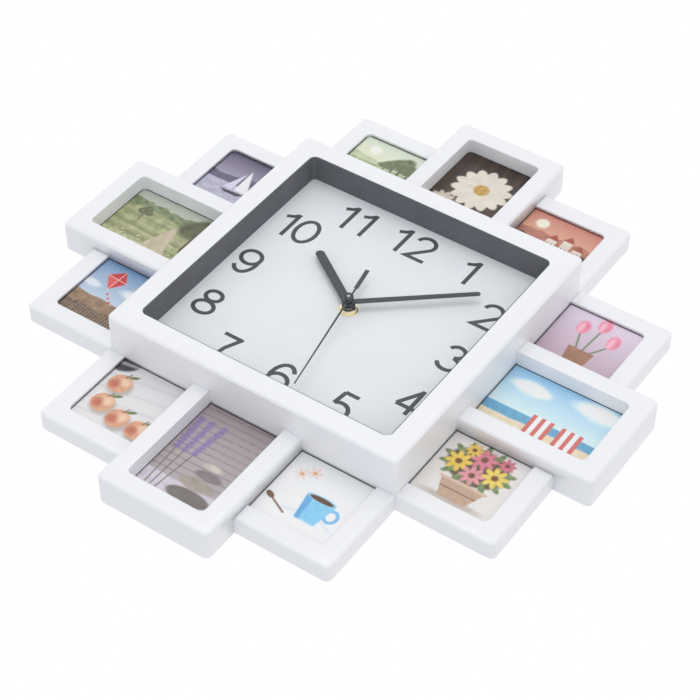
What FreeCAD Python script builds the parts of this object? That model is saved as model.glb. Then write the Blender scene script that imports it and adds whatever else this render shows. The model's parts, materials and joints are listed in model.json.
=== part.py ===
import FreeCAD, Part
import math
import os

# Photo frame wall clock, millimetres, hung upright.
# +X is towards three o'clock, +Z towards twelve o'clock, and the face looks along -Y.
# The wall is the plane Y = 0 and the origin is the middle of the keyhole that the clock hangs on.
# Below, "across" runs along X, "up" along Z from the hand axis, and "out" is the distance from the wall.

# Driving sizes of the moulded front
opening_side = 202.0
bezel_width = 17.0
housing_height = 44.0
raised_height = 23.3
low_height = 13.8
raised_reach = 102.5
low_reach = 74.5
raised_width = 89.5
rim_end_width = 14.5
rim_side_width = 14.0
picture_plane = 11.3
dial_depth = 21.3

# Walls, corners and rounded edges of the moulding
outer_wall = 2.2
skirt_wall = 2.0
front_skin = 2.4
rear_ledge = 2.2
plan_corner = 4.5
edge_bevel = 1.5
window_corner = 4.0
opening_corner = 4.5
plan_tolerance = 0.5

# Pictures and what holds them in their pockets
picture_lap = 2.0
picture_clearance = 0.25
sheet_thickness = 0.3
print_thickness = 0.3
panel_thickness = 2.0
hook_length = 14.0
hook_reach = 0.9
hook_height = 1.6
notch_half_width = 8.0
notch_depth = 6.0

# Dial, its lining and its screws
lining_thickness = 0.8
lining_setback = 0.2
dial_sheet_thickness = 0.3
dial_sheet_lap = 1.7
board_thickness = 2.0
board_clearance = 0.5
boss_half = 3.2
screw_radius = 1.45
screw_clearance = 0.15
screw_length = 9.0
screw_head_radius = 2.9
screw_head_height = 1.9
thread_fit = 0.05

# Keyhole that the clock hangs on
hanger_height = 98.0
keyhole_radius = 4.25
keyhole_slot_radius = 2.25
keyhole_rise = 7.5
bridge_thickness = 2.0
bridge_half_width = 22.0
bridge_drop = 11.0
bridge_rib_height = 12.0

# Movement case, bush and its fastening through the dial
works_side = 52.2
case_depth = 15.6
case_wall = 1.5
case_corner = 3.0
case_post_radius = 1.1
case_split = 9.6
case_fit = 0.05
dial_washer_thickness = 0.8
dial_washer_half = 9.0
bush_radius = 4.0
bush_rise = 3.7
bush_clearance = 0.2
washer_radius = 7.6
washer_thickness = 0.6
nut_across_flats = 12.0
nut_thickness = 2.3

# Arbors and pipes of the movement
running_fit = 0.05
second_arbor_radius = 0.5
minute_pipe_radius = 1.7
minute_neck_radius = 1.1
hour_pipe_radius = 2.5
stud_radius = 0.6
pivot_radius = 0.5
pivot_depth = 0.9
pivot_gap = 0.15
wheel_thickness = 1.0
pinion_thickness = 1.4

# Hands, heights above the dial to the underside of each blade
blade_thickness = 0.5
hour_blade_rise = 4.5
hour_length = 58.8
hour_width = 6.7
hour_boss_radius = 4.7
minute_blade_rise = 6.5
minute_length = 92.0
minute_root_width = 4.8
minute_tip_width = 4.0
minute_boss_radius = 4.3
boss_height = 1.3
second_blade_rise = 8.5
second_length = 88.8
second_root_width = 1.5
second_tip_width = 0.9
second_boss_radius = 3.5
second_tail_start = 12.5
second_tail_end = 33.0
second_tail_width = 3.1
second_neck_width = 1.4

# Time shown at rest, as angles clockwise from twelve o'clock
second_angle = 169.2
minute_angle = 49.98
hour_angle = 304.165
full_turn = 360.0

# Teeth of the going train, which steps the second hand, and of the motion work
rotor_pinion_teeth = 6
step_wheel_teeth = 30
step_pinion_teeth = 6
second_wheel_teeth = 36
second_pinion_teeth = 6
third_wheel_teeth = 45
third_pinion_teeth = 6
centre_wheel_teeth = 48
cannon_pinion_teeth = 10
motion_wheel_teeth = 30
motion_pinion_teeth = 8
hour_wheel_teeth = 32
setting_pinion_teeth = 10
train_module = 0.4
step_module = 0.5
rotor_module = 0.3
motion_module = 0.32
addendum_share = 0.7
dedendum_share = 1.05

# Directions, clockwise from twelve o'clock, from one axis of the movement to the next
third_direction = 30.0
step_direction = 300.0
rotor_direction = 300.0
motion_direction = 120.0
setting_direction = 110.0

# Levels of the movement, out from the inner face of the rear cover
rotor_level = 2.1
second_level = 3.8
third_level = 5.9
centre_level = 7.9
motion_level = 9.6
hour_level = 11.1

# Battery, its bay and contacts
battery_radius = 7.1
battery_length = 49.2
battery_nub_radius = 2.7
battery_nub_length = 1.3
battery_gap = 0.3
bay_wall = 1.2
contact_thickness = 0.4
contact_width = 10.0
contact_height = 9.0
contact_tongue_width = 4.0
contact_reach = 0.85

# Rotor, stator, coil and circuit board
magnet_radius = 3.0
magnet_thickness = 2.6
magnet_lift = 2.2
stator_thickness = 0.8
stator_gap = 0.6
stator_arm_width = 4.0
stator_margin = 2.6
stator_length = 19.0
stator_relief = 0.5
coil_radius = 3.3
coil_end_gap = 0.1
coil_height = 12.5
bobbin_flange_half = 3.6
bobbin_flange = 0.8
board_width = 10.0
board_height = 17.0
board_margin = 0.8
circuit_thickness = 0.8
circuit_level = 3.2
crystal_radius = 1.0
crystal_length = 6.0
chip_side = 4.4
chip_height = 0.9

# Setting knob
knob_radius = 4.2
knob_height = 2.6
knob_gap = 0.2
knob_ridges = 10
knob_ridge_height = 0.5
knob_flute_share = 0.5
knob_root_share = 0.2
knob_shaft_radius = 0.9

overrun = 1.0
slim_sides = 12

# Sizes that follow from the ones above
half_opening = opening_side / 2
half_housing = half_opening + bezel_width
half_raised = raised_width / 2
raised_end = half_housing + raised_reach
low_end = half_housing + low_reach
raised_window_half = half_raised - rim_side_width
raised_window_end = raised_end - rim_end_width
low_window_end = low_end - rim_end_width
low_window_top = half_housing - rim_side_width
low_middle = (half_raised + low_window_top) / 2
skirt_inner = half_opening + lining_thickness
skirt_outer = skirt_inner + skirt_wall
ledge_inner = half_housing - picture_lap - rear_ledge
ledge_top = picture_plane + rear_ledge
dial_front = housing_height - dial_depth
board_front = dial_front - dial_sheet_thickness
board_rear = board_front - board_thickness
board_half = ledge_inner - board_clearance
boss_place = (skirt_outer + half_housing - outer_wall) / 2
panel_front = picture_plane - sheet_thickness - print_thickness
panel_rear = panel_front - panel_thickness
case_front = board_rear - dial_washer_thickness
case_rear = case_front - case_depth
case_floor = case_rear + case_wall
case_ceiling = case_front - case_wall
battery_half = (battery_length + battery_nub_length) / 2
case_half = max(works_side / 2, battery_half + contact_reach) + contact_thickness + case_wall
battery_out = case_ceiling - battery_gap - battery_radius
circuit_right = case_half - case_wall - board_margin
battery_up = -case_half + case_wall + battery_gap + battery_radius
bay_top = battery_up + battery_radius + battery_gap
axis_z = -hanger_height


front = FreeCAD.Vector(0, -1, 0)
rearward = FreeCAD.Vector(0, 1, 0)
hand_axis = FreeCAD.Vector(0, 0, axis_z)
right_angle = 90
half_turn = 180

os.makedirs("parts", exist_ok=True)


def at(across, out, up):
    """Point given by its place across the face, out from the wall and up from the hand axis."""
    return FreeCAD.Vector(across, -out, axis_z + up)


def block(left, right, rear, near, bottom, top):
    """Plain block between two values across, two out from the wall and two up."""
    return Part.makeBox(right - left, near - rear, top - bottom, at(left, near, bottom))


def rod(radius, rear, near, across=0, up=0):
    """Round bar square to the wall."""
    return Part.makeCylinder(radius, near - rear, at(across, rear, up), front)


def tube(outer, inner, rear, near, across=0, up=0):
    """Round pipe square to the wall."""
    bore = rod(inner, rear - overrun, near + overrun, across, up)
    return rod(outer, rear, near, across, up).cut(bore)


def slim_rod(radius, rear, near, across=0, up=0):
    """Thin bar square to the wall, with a few flats that lie on its radius."""
    reach = radius / math.cos(math.pi / slim_sides)
    corners = []
    for index in range(slim_sides):
        turn = 2 * math.pi * index / slim_sides
        corners.append(at(across + reach * math.sin(turn), rear, up + reach * math.cos(turn)))
    return Part.Face(Part.makePolygon(corners + corners[:1])).extrude(front * (near - rear))


def upright_edges(shape, across, up):
    """Edges square to the wall that stand at one place in the plan."""
    found = []
    for edge in shape.Edges:
        box = edge.BoundBox
        here = abs(box.Center.x - across) + abs(box.Center.z - axis_z - up) < plan_tolerance
        if here and box.XLength + box.ZLength < plan_tolerance:
            found.append(edge)
    return found


def front_edges(shape, out, reach):
    """Edges in the plane at the given height whose middle lies further out than reach."""
    found = []
    for edge in shape.Edges:
        box = edge.BoundBox
        flat = box.YLength < plan_tolerance and abs(box.Center.y + out) < plan_tolerance
        if flat and reach(box.Center.x, box.Center.z - axis_z):
            found.append(edge)
    return found


def rounded_block(left, right, rear, near, bottom, top, corners, radius):
    """Block whose named plan corners are rounded, given as pairs of across and up."""
    shape = block(left, right, rear, near, bottom, top)
    edges = []
    for across, up in corners:
        edges.extend(upright_edges(shape, across, up))
    return shape.makeFillet(radius, edges)


def square_corners(half):
    """The four plan corners of a square about the hand axis."""
    return [(half, half), (half, -half), (-half, -half), (-half, half)]


def square_prism(half, rear, near, radius):
    """Square bar about the hand axis with rounded corners."""
    return rounded_block(-half, half, rear, near, -half, half, square_corners(half), radius)


def turned(shape, quarters):
    """Copy turned clockwise about the hand axis by quarter turns."""
    copy = shape.copy()
    copy.rotate(hand_axis, rearward, right_angle * quarters)
    return copy


def mirrored(shape):
    """Copy mirrored top to bottom about the hand axis."""
    return shape.mirror(hand_axis, FreeCAD.Vector(0, 0, 1))


def spun(shape, angle, across=0, up=0):
    """Copy turned clockwise, as seen from the front, about an axis square to the wall."""
    copy = shape.copy()
    copy.rotate(at(across, 0, up), rearward, angle)
    return copy


def joined(shapes):
    """One solid from shapes that share material."""
    whole = shapes[0].fuse(shapes[1:]) if len(shapes) > 1 else shapes[0]
    return whole.removeSplitter()


def save(name, shape):
    """Write one node as a STEP file."""
    if shape.ShapeType == "Compound" and len(shape.Solids) == 1:
        shape = shape.Solids[0]
    shape.exportStep("parts/" + name + ".step")
    print(name, len(shape.Solids), "solid", round(shape.Volume, 1), "mm3", shape.isValid())


# Pockets for the pictures, cut from the rear, drawn for the frames on the right-hand side
def raised_pocket():
    half = raised_window_half + picture_lap
    return block(half_housing - picture_lap, raised_window_end + picture_lap, -overrun, picture_plane, -half, half)


def low_pocket():
    bottom = half_raised - picture_lap
    top = low_window_top + picture_lap
    return block(half_housing - picture_lap, low_window_end + picture_lap, -overrun, picture_plane, bottom, top)


def all_pockets():
    """The three pockets of one side, at all four sides."""
    side = [raised_pocket(), low_pocket(), mirrored(low_pocket())]
    return [turned(pocket, quarters) for quarters in range(4) for pocket in side]


def hook(across, up, facing):
    """Wedge-shaped snap hook on a pocket wall, its flat side against the panel.

    It points along +X, turned clockwise by the angle facing.
    """
    rear = panel_rear - hook_height
    bottom = up - hook_length / 2
    points = [at(across, panel_rear, bottom), at(across + hook_reach, panel_rear, bottom), at(across, rear, bottom)]
    wedge = Part.Face(Part.makePolygon(points + points[:1])).extrude(FreeCAD.Vector(0, 0, hook_length))
    return spun(wedge, facing, across, up)


# The central housing and its bezel
def central_housing():
    foot = block(-half_housing, half_housing, 0, low_height, -half_housing, half_housing)
    tower = square_prism(half_housing, low_height, housing_height, plan_corner)
    rim = front_edges(tower, housing_height, lambda across, up: True)
    tower = tower.makeChamfer(edge_bevel, rim)
    body = foot.fuse(tower).removeSplitter()
    mouth = square_prism(skirt_inner, -overrun, housing_height + overrun, opening_corner + lining_thickness)
    body = body.cut(mouth)
    gutter_top = housing_height - front_skin
    wall_inner = half_housing - outer_wall
    upper = block(-wall_inner, wall_inner, ledge_top, gutter_top, -wall_inner, wall_inner)
    lower = block(-ledge_inner, ledge_inner, -overrun, ledge_top, -ledge_inner, ledge_inner)
    keep = block(-skirt_outer, skirt_outer, dial_front, gutter_top, -skirt_outer, skirt_outer)
    gutter = upper.fuse(lower).cut(keep)
    body = body.cut(gutter)
    bosses = []
    holes = []
    for across, up in square_corners(boss_place):
        bosses.append(block(across - boss_half, across + boss_half, board_front, gutter_top + lining_setback,
                            up - boss_half, up + boss_half))
        holes.append(slim_rod(screw_radius + thread_fit, board_front - overrun,
                              board_rear + screw_length + thread_fit, across, up))
    bridge = keyhole_bridge()
    body = body.fuse(bosses + bridge).cut(holes + all_pockets() + [keyhole()])
    hooks = []
    for up in (0, low_middle, -low_middle):
        one = hook(half_housing - picture_lap, up, 0)
        hooks.extend(turned(one, quarters) for quarters in range(4))
    return body.fuse(hooks).removeSplitter()


def keyhole_bridge():
    """Plate behind the dial, near twelve o'clock, carried by the housing wall and two ribs."""
    bottom = hanger_height - bridge_drop
    plate = block(-bridge_half_width, bridge_half_width, 0, bridge_thickness, bottom, ledge_inner)
    rib_left = -bridge_half_width
    ribs = []
    for left in (rib_left, -rib_left - bridge_thickness):
        ribs.append(block(left, left + bridge_thickness, 0, bridge_rib_height, bottom, ledge_inner))
    return [plate] + ribs


def keyhole():
    """Round hole for a screw head with a slot above it for the shank."""
    entry = rod(keyhole_radius, -overrun, bridge_thickness + overrun, 0, hanger_height)
    end = rod(keyhole_slot_radius, -overrun, bridge_thickness + overrun, 0, hanger_height + keyhole_rise)
    slot = block(-keyhole_slot_radius, keyhole_slot_radius, -overrun, bridge_thickness + overrun,
                 hanger_height, hanger_height + keyhole_rise)
    return entry.fuse([end, slot])


# Raised frame, drawn for three o'clock
def raised_frame():
    corners = [(raised_end, half_raised), (raised_end, -half_raised)]
    body = rounded_block(half_housing, raised_end, 0, raised_height, -half_raised, half_raised,
                         corners, plan_corner)
    rim = front_edges(body, raised_height, lambda across, up: across > half_housing + plan_tolerance)
    body = body.makeChamfer(edge_bevel, rim)
    corners = [(raised_window_end, raised_window_half), (raised_window_end, -raised_window_half)]
    window = rounded_block(half_housing - overrun, raised_window_end, picture_plane - overrun,
                           raised_height + overrun, -raised_window_half, raised_window_half,
                           corners, window_corner)
    body = body.cut(window)
    skin_rear = raised_height - front_skin
    upper = block(half_housing - overrun, raised_end - outer_wall, ledge_top, skin_rear,
                  -half_raised + outer_wall, half_raised - outer_wall)
    skirt = raised_window_half + skirt_wall
    skirt_keep = block(half_housing - overrun, raised_window_end + skirt_wall, ledge_top, skin_rear, -skirt, skirt)
    lower_half = half_raised - picture_lap - rear_ledge
    lower = block(half_housing - overrun, raised_end - outer_wall, -overrun, ledge_top, -lower_half, lower_half)
    wall = raised_window_half + picture_lap + skirt_wall
    wall_end = raised_window_end + picture_lap + skirt_wall
    wall_keep = block(half_housing - overrun, wall_end, -overrun, ledge_top, -wall, wall)
    hollow = upper.cut(skirt_keep).fuse(lower.cut(wall_keep))
    body = body.cut([hollow, raised_pocket(), low_pocket(), mirrored(low_pocket())])
    side_hook = hook((half_housing + low_window_end) / 2, half_raised - picture_lap, -right_angle)
    hooks = [hook(raised_window_end + picture_lap, 0, half_turn), side_hook, mirrored(side_hook)]
    return body.fuse(hooks).removeSplitter()


# Low frame, drawn for the upper right
def low_frame():
    body = rounded_block(half_housing, low_end, 0, low_height, half_raised, half_housing,
                         [(low_end, half_housing)], plan_corner)
    rim = front_edges(body, low_height,
                      lambda across, up: across > low_end - plan_corner or up > half_housing - plan_corner)
    body = body.makeChamfer(edge_bevel, rim)
    window = rounded_block(half_housing - overrun, low_window_end, picture_plane - overrun,
                           low_height + overrun, half_raised - overrun, low_window_top,
                           [(low_window_end, low_window_top)], window_corner)
    body = body.cut(window)
    skin_rear = low_height - front_skin
    hollow = block(half_housing + outer_wall, low_end - outer_wall, -overrun, skin_rear,
                   half_raised + outer_wall, half_housing - outer_wall)
    keep = block(half_housing, low_window_end + picture_lap + skirt_wall, -overrun, skin_rear,
                 half_raised, low_window_top + picture_lap + skirt_wall)
    body = body.cut([hollow.cut(keep), low_pocket()])
    return body.fuse(hook(low_window_end + picture_lap, low_middle, half_turn)).removeSplitter()


# What lies in a pocket: a clear sheet, a print and a backing panel
def pocket_plate(left, right, bottom, top, rear, near):
    gap = picture_clearance
    return block(left + gap, right - gap, rear, near, bottom + gap, top - gap)


def raised_plate(rear, near):
    half = raised_window_half + picture_lap
    return pocket_plate(half_housing - picture_lap, raised_window_end + picture_lap, -half, half, rear, near)


def low_plate(rear, near):
    return pocket_plate(half_housing - picture_lap, low_window_end + picture_lap,
                        half_raised - picture_lap, low_window_top + picture_lap, rear, near)


def notched(plate, up):
    """Backing panel with a finger notch at the middle of its upper edge."""
    middle = plate.BoundBox.Center.x
    notch = block(middle - notch_half_width, middle + notch_half_width, panel_rear - overrun, panel_front + overrun,
                  up - notch_depth, up + overrun)
    return plate.cut(notch)


def raised_panel():
    return notched(raised_plate(panel_rear, panel_front), raised_window_half + picture_lap)


def low_panel():
    return notched(low_plate(panel_rear, panel_front), low_window_top + picture_lap)


# Names of the frames on the four sides, going clockwise from three o'clock
side_names = ("right", "bottom", "left", "top")
first_low_names = ("right_upper", "bottom_right", "left_lower", "top_left")
second_low_names = ("right_lower", "bottom_left", "left_upper", "top_right")


def save_frames():
    raised = raised_frame()
    low = low_frame()
    raised_print = raised_plate(panel_front, panel_front + print_thickness)
    low_print = low_plate(panel_front, panel_front + print_thickness)
    for quarters in range(4):
        save("raised_frame_" + side_names[quarters], turned(raised, quarters))
        save("low_frame_" + first_low_names[quarters], turned(low, quarters))
        save("low_frame_" + second_low_names[quarters], turned(mirrored(low), quarters))
        save("print_" + side_names[quarters], turned(raised_print, quarters))
        save("print_" + first_low_names[quarters], turned(low_print, quarters))
        save("print_" + second_low_names[quarters], turned(mirrored(low_print), quarters))


def save_backing():
    """Clear sheets and backing panels, alike pieces grouped by size."""
    raised_sheet = raised_plate(picture_plane - sheet_thickness, picture_plane)
    low_sheet = low_plate(picture_plane - sheet_thickness, picture_plane)
    save("raised_window_sheets", Part.makeCompound([turned(raised_sheet, n) for n in range(4)]))
    save("raised_backing_panels", Part.makeCompound([turned(raised_panel(), n) for n in range(4)]))
    sheets = [low_sheet, mirrored(low_sheet)]
    panels = [low_panel(), mirrored(low_panel())]
    save("low_window_sheets", Part.makeCompound([turned(one, n) for n in range(4) for one in sheets]))
    save("low_backing_panels", Part.makeCompound([turned(one, n) for n in range(4) for one in panels]))


# Dial, lining and screws
def recess_lining():
    outer = square_prism(skirt_inner, dial_front, housing_height - lining_setback,
                         opening_corner + lining_thickness)
    inner = square_prism(half_opening, dial_front - overrun, housing_height + overrun, opening_corner)
    return outer.cut(inner)


def dial_sheet():
    half = skirt_inner + dial_sheet_lap
    sheet = block(-half, half, board_front, dial_front, -half, half)
    return sheet.cut(rod(bush_radius + bush_clearance, board_front - overrun, dial_front + overrun))


def dial_board():
    board = block(-board_half, board_half, board_rear, board_front, -board_half, board_half)
    holes = [rod(bush_radius + bush_clearance, board_rear - overrun, board_front + overrun)]
    for across, up in square_corners(boss_place):
        holes.append(slim_rod(screw_radius + screw_clearance, board_rear - overrun, board_front + overrun,
                              across, up))
    return board.cut(holes)


def dial_screw(across, up):
    """Screw whose head bears on the rear of the dial board."""
    head = slim_rod(screw_head_radius, board_rear - screw_head_height, board_rear, across, up)
    return head.fuse(slim_rod(screw_radius, board_rear, board_rear + screw_length, across, up))


def save_dial():
    save("recess_lining", recess_lining())
    save("dial_sheet", dial_sheet())
    save("dial_board", dial_board())
    save("dial_screws", Part.makeCompound([dial_screw(*place) for place in square_corners(boss_place)]))


# Toothed wheels
def direction(angle):
    """Unit steps across and up for an angle clockwise from twelve o'clock."""
    turn = math.radians(angle)
    return math.sin(turn), math.cos(turn)


def moved_from(start, angle, distance):
    """Place in the plan a distance away from a start in a clockwise direction."""
    across, up = direction(angle)
    return start[0] + across * distance, start[1] + up * distance


def spacing(first_teeth, second_teeth, module):
    """Distance between the axes of two wheels in mesh."""
    return module * (first_teeth + second_teeth) / 2


def toothed(teeth, module, rear, thickness, place, phase):
    """Wheel with fine pointed teeth, one of them centred on the clockwise angle phase."""
    pitch_radius = module * teeth / 2
    pitch = full_turn / teeth
    root = pitch_radius - dedendum_share * module
    tip = pitch_radius + addendum_share * module
    corners = []
    for index in range(teeth):
        middle = phase + index * pitch
        for angle, radius in ((middle, tip), (middle + pitch / 2, root)):
            across, up = moved_from(place, angle, radius)
            corners.append(at(across, rear, up))
    corners.append(corners[0])
    return Part.Face(Part.makePolygon(corners)).extrude(FreeCAD.Vector(0, -thickness, 0))


def meshing_phase(phase, teeth, angle, other_teeth):
    """Phase of a wheel in mesh with one of known phase that lies at the clockwise angle from it."""
    pitch = full_turn / teeth
    other_pitch = full_turn / other_teeth
    lag = (angle - phase) % pitch
    return angle + half_turn + lag * other_pitch / pitch + other_pitch / 2


centre = (0.0, 0.0)
third_spacing = spacing(second_pinion_teeth, third_wheel_teeth, train_module)
centre_module = 2 * third_spacing / (third_pinion_teeth + centre_wheel_teeth)
motion_spacing = spacing(cannon_pinion_teeth, motion_wheel_teeth, motion_module)
hour_module = 2 * motion_spacing / (motion_pinion_teeth + hour_wheel_teeth)
third_place = moved_from(centre, third_direction, third_spacing)
step_spacing = spacing(second_wheel_teeth, step_pinion_teeth, step_module)
step_place = moved_from(centre, step_direction, step_spacing)
rotor_spacing = spacing(rotor_pinion_teeth, step_wheel_teeth, rotor_module)
rotor_place = moved_from(step_place, rotor_direction, rotor_spacing)
motion_place = moved_from(centre, motion_direction, motion_spacing)
setting_spacing = spacing(motion_wheel_teeth, setting_pinion_teeth, motion_module)
setting_place = moved_from(motion_place, setting_direction, setting_spacing)
motion_wheel_phase = meshing_phase(motion_direction, cannon_pinion_teeth, motion_direction, motion_wheel_teeth)


def level(height):
    """Distance out from the wall of a level inside the movement."""
    return case_floor + height


def pivoted(shapes, place, near):
    """Wheels joined to an arbor whose ends turn in the two halves of the case."""
    return joined([slim_rod(pivot_radius, case_floor - pivot_depth, near + pivot_depth, *place)] + shapes)


def second_wheel():
    """Second wheel, its pinion and the long arbor that carries the second hand."""
    wheel = toothed(second_wheel_teeth, step_module, level(second_level), wheel_thickness, centre,
                    step_direction)
    pinion = toothed(second_pinion_teeth, train_module, level(second_level) + wheel_thickness,
                     level(third_level) + pinion_thickness - level(second_level) - wheel_thickness, centre,
                     third_direction)
    arbor = slim_rod(second_arbor_radius, case_floor - pivot_depth, dial_front + second_blade_rise + blade_thickness)
    return joined([wheel, pinion, arbor])


def third_wheel():
    wheel_phase = meshing_phase(third_direction, second_pinion_teeth, third_direction, third_wheel_teeth)
    wheel = toothed(third_wheel_teeth, train_module, level(third_level), wheel_thickness, third_place,
                    wheel_phase)
    pinion = toothed(third_pinion_teeth, centre_module, level(third_level) + wheel_thickness,
                     level(centre_level) + pinion_thickness - level(third_level) - wheel_thickness,
                     third_place, third_direction + half_turn)
    return pivoted([wheel, pinion], third_place, level(hour_level))


def centre_wheel():
    """Wheel that turns once an hour and drives the minute pipe through its friction."""
    phase = meshing_phase(third_direction + half_turn, third_pinion_teeth, third_direction + half_turn,
                          centre_wheel_teeth)
    wheel = toothed(centre_wheel_teeth, centre_module, level(centre_level), wheel_thickness, centre, phase)
    return wheel.cut(slim_rod(minute_neck_radius + running_fit, case_floor, case_front))


def step_wheel():
    """Wheel that the rotor turns by one step a second, with the pinion that turns the second wheel."""
    phase = meshing_phase(step_direction, second_wheel_teeth, step_direction, step_pinion_teeth)
    wheel = toothed(step_wheel_teeth, rotor_module, level(rotor_level), wheel_thickness, step_place,
                    rotor_direction)
    pinion = toothed(step_pinion_teeth, step_module, level(rotor_level) + wheel_thickness,
                     level(second_level) + pinion_thickness - level(rotor_level) - wheel_thickness, step_place,
                     phase)
    return pivoted([wheel, pinion], step_place, level(third_level))


def rotor():
    """Magnet rotor of the stepping motor with its pinion."""
    phase = meshing_phase(rotor_direction, step_wheel_teeth, rotor_direction, rotor_pinion_teeth)
    magnet_rear = level(rotor_level) + magnet_lift
    pinion = toothed(rotor_pinion_teeth, rotor_module, level(rotor_level) - running_fit,
                     magnet_lift + running_fit, rotor_place, phase)
    magnet = rod(magnet_radius, magnet_rear, magnet_rear + magnet_thickness, *rotor_place)
    return pivoted([pinion, magnet], rotor_place, level(centre_level))


def minute_pipe():
    """Pipe of the minute hand with a seat under the centre wheel and the cannon pinion over it."""
    seat_rear = level(third_level) + pinion_thickness + pivot_gap
    top = dial_front + minute_blade_rise + boss_height
    neck_top = level(motion_level) + pinion_thickness
    neck = slim_rod(minute_neck_radius, seat_rear, neck_top)
    pipe = rod(minute_pipe_radius, neck_top, top)
    seat = slim_rod(minute_pipe_radius * 2, seat_rear, level(centre_level) - running_fit)
    pinion = toothed(cannon_pinion_teeth, motion_module, level(motion_level), pinion_thickness, centre,
                     motion_direction)
    bore = slim_rod(second_arbor_radius + running_fit, seat_rear - overrun, top + overrun)
    return joined([neck, pipe, seat, pinion]).cut(bore)


def motion_wheel():
    """Wheel and pinion that turn on a stud of the case and drive the hour wheel."""
    wheel = toothed(motion_wheel_teeth, motion_module, level(motion_level), wheel_thickness, motion_place,
                    motion_wheel_phase)
    pinion = toothed(motion_pinion_teeth, hour_module, level(motion_level) + wheel_thickness,
                     level(hour_level) + wheel_thickness - level(motion_level) - wheel_thickness,
                     motion_place, motion_direction + half_turn)
    bore = slim_rod(stud_radius + running_fit, case_floor, case_front, *motion_place)
    return joined([wheel, pinion]).cut(bore)


def hour_wheel():
    """Hour wheel with the pipe that carries the hour hand."""
    phase = meshing_phase(motion_direction + half_turn, motion_pinion_teeth, motion_direction + half_turn,
                          hour_wheel_teeth)
    wheel = toothed(hour_wheel_teeth, hour_module, level(hour_level), wheel_thickness, centre, phase)
    top = dial_front + hour_blade_rise + boss_height
    pipe = rod(hour_pipe_radius, level(hour_level), top)
    bore = rod(minute_pipe_radius + running_fit, level(hour_level) - overrun, top + overrun)
    return joined([wheel, pipe]).cut(bore)


# Case of the movement
def case_outline(rear, near):
    return square_prism(case_half, rear, near, case_corner)


def case_room(rear, near):
    half = case_half - case_wall
    return block(-half, half, rear, near, -half, half)


def bay_space(rear, near):
    """Room for the battery and its contacts, open to the rear."""
    half = case_half - case_wall
    return block(-half, half, rear, near, -half, bay_top)


def bearing(place, rear, near, from_front):
    """Post of the case with a blind hole that a pivot turns in."""
    post = slim_rod(case_post_radius, rear, near, *place)
    depth = pivot_depth + pivot_gap
    if from_front:
        hole = slim_rod(pivot_radius + running_fit, rear - overrun, rear + depth, *place)
    else:
        hole = slim_rod(pivot_radius + running_fit, near - depth, near + overrun, *place)
    return post.cut(hole)


def movement_front_case():
    """Deep half of the case with the threaded bush, the battery bay and the front bearings."""
    split = case_rear + case_split
    shell = case_outline(split, case_front)
    shell = shell.cut(case_room(split - overrun, case_ceiling))
    bay = block(-case_half + case_wall, case_half - case_wall, split, case_ceiling, bay_top, bay_top + bay_wall)
    bush = rod(bush_radius, case_front - case_wall / 2, dial_front + bush_rise)
    stud = slim_rod(stud_radius, level(motion_level) - pivot_gap, case_ceiling + case_wall / 2, *motion_place)
    posts = []
    for place, near in ((third_place, level(hour_level)), (step_place, level(third_level)),
                        (rotor_place, level(centre_level))):
        posts.append(bearing(place, near + pivot_gap, case_ceiling + case_wall / 2, True))
    bore = rod(hour_pipe_radius + running_fit, case_ceiling - overrun, dial_front + bush_rise + overrun)
    knob_hole = slim_rod(knob_shaft_radius + running_fit, case_ceiling - overrun, case_ceiling + case_wall / 2,
                         *setting_place)
    return joined([shell, bay, bush, stud] + posts).cut([bore, knob_hole])


def movement_rear_case():
    """Shallow half of the case, cut away over the battery, with the rear bearings."""
    split = case_rear + case_split
    shell = case_outline(case_rear, split)
    shell = shell.cut(case_room(case_floor, split + overrun))
    shell = shell.cut(bay_space(case_rear - overrun, split + overrun))
    bay = block(-case_half + case_wall, case_half - case_wall, case_rear, split, bay_top, bay_top + bay_wall)
    holes = []
    for place in (centre, third_place, step_place, rotor_place):
        depth = pivot_depth + pivot_gap
        radius = second_arbor_radius if place == centre else pivot_radius
        holes.append(slim_rod(radius + running_fit, case_floor - depth, case_floor + overrun, *place))
    holes.append(slim_rod(knob_shaft_radius + running_fit, case_rear - overrun, case_floor + overrun,
                          *setting_place))
    return joined([shell, bay] + rear_posts()).cut(holes)


def rear_posts():
    """Posts on the rear cover that carry the circuit board and the two arms of the stator."""
    across = circuit_right - board_width / 2
    low = circuit_right - board_height + case_post_radius * 2
    high = circuit_right - case_post_radius * 2
    posts = [square_post(level(circuit_level), across, up) for up in (low, high)]
    arm = (stator_length - stator_arm_width) / 2
    for side, rise in ((-arm, 0), (arm, coil_height / 2)):
        posts.append(square_post(stator_rear(), rotor_place[0] + side, rotor_place[1] + rise))
    return posts


def square_post(near, across, up):
    half = case_post_radius
    return block(across - half, across + half, case_floor - case_wall / 2, near, up - half, up + half)


def stator_rear():
    return level(rotor_level) + magnet_lift + magnet_thickness / 2 - stator_thickness / 2


def battery():
    """Round cell lying along X in its bay, with its positive nub on the right."""
    body = bar_along(battery_radius, battery_length, -battery_half, battery_out, battery_up)
    nub = bar_along(battery_nub_radius, battery_nub_length, battery_length - battery_half, battery_out, battery_up)
    return body.fuse(nub)


def bar_along(radius, length, left, out, up):
    """Round bar that lies along X."""
    return Part.makeCylinder(radius, length, at(left, out, up), FreeCAD.Vector(1, 0, 0))


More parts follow.
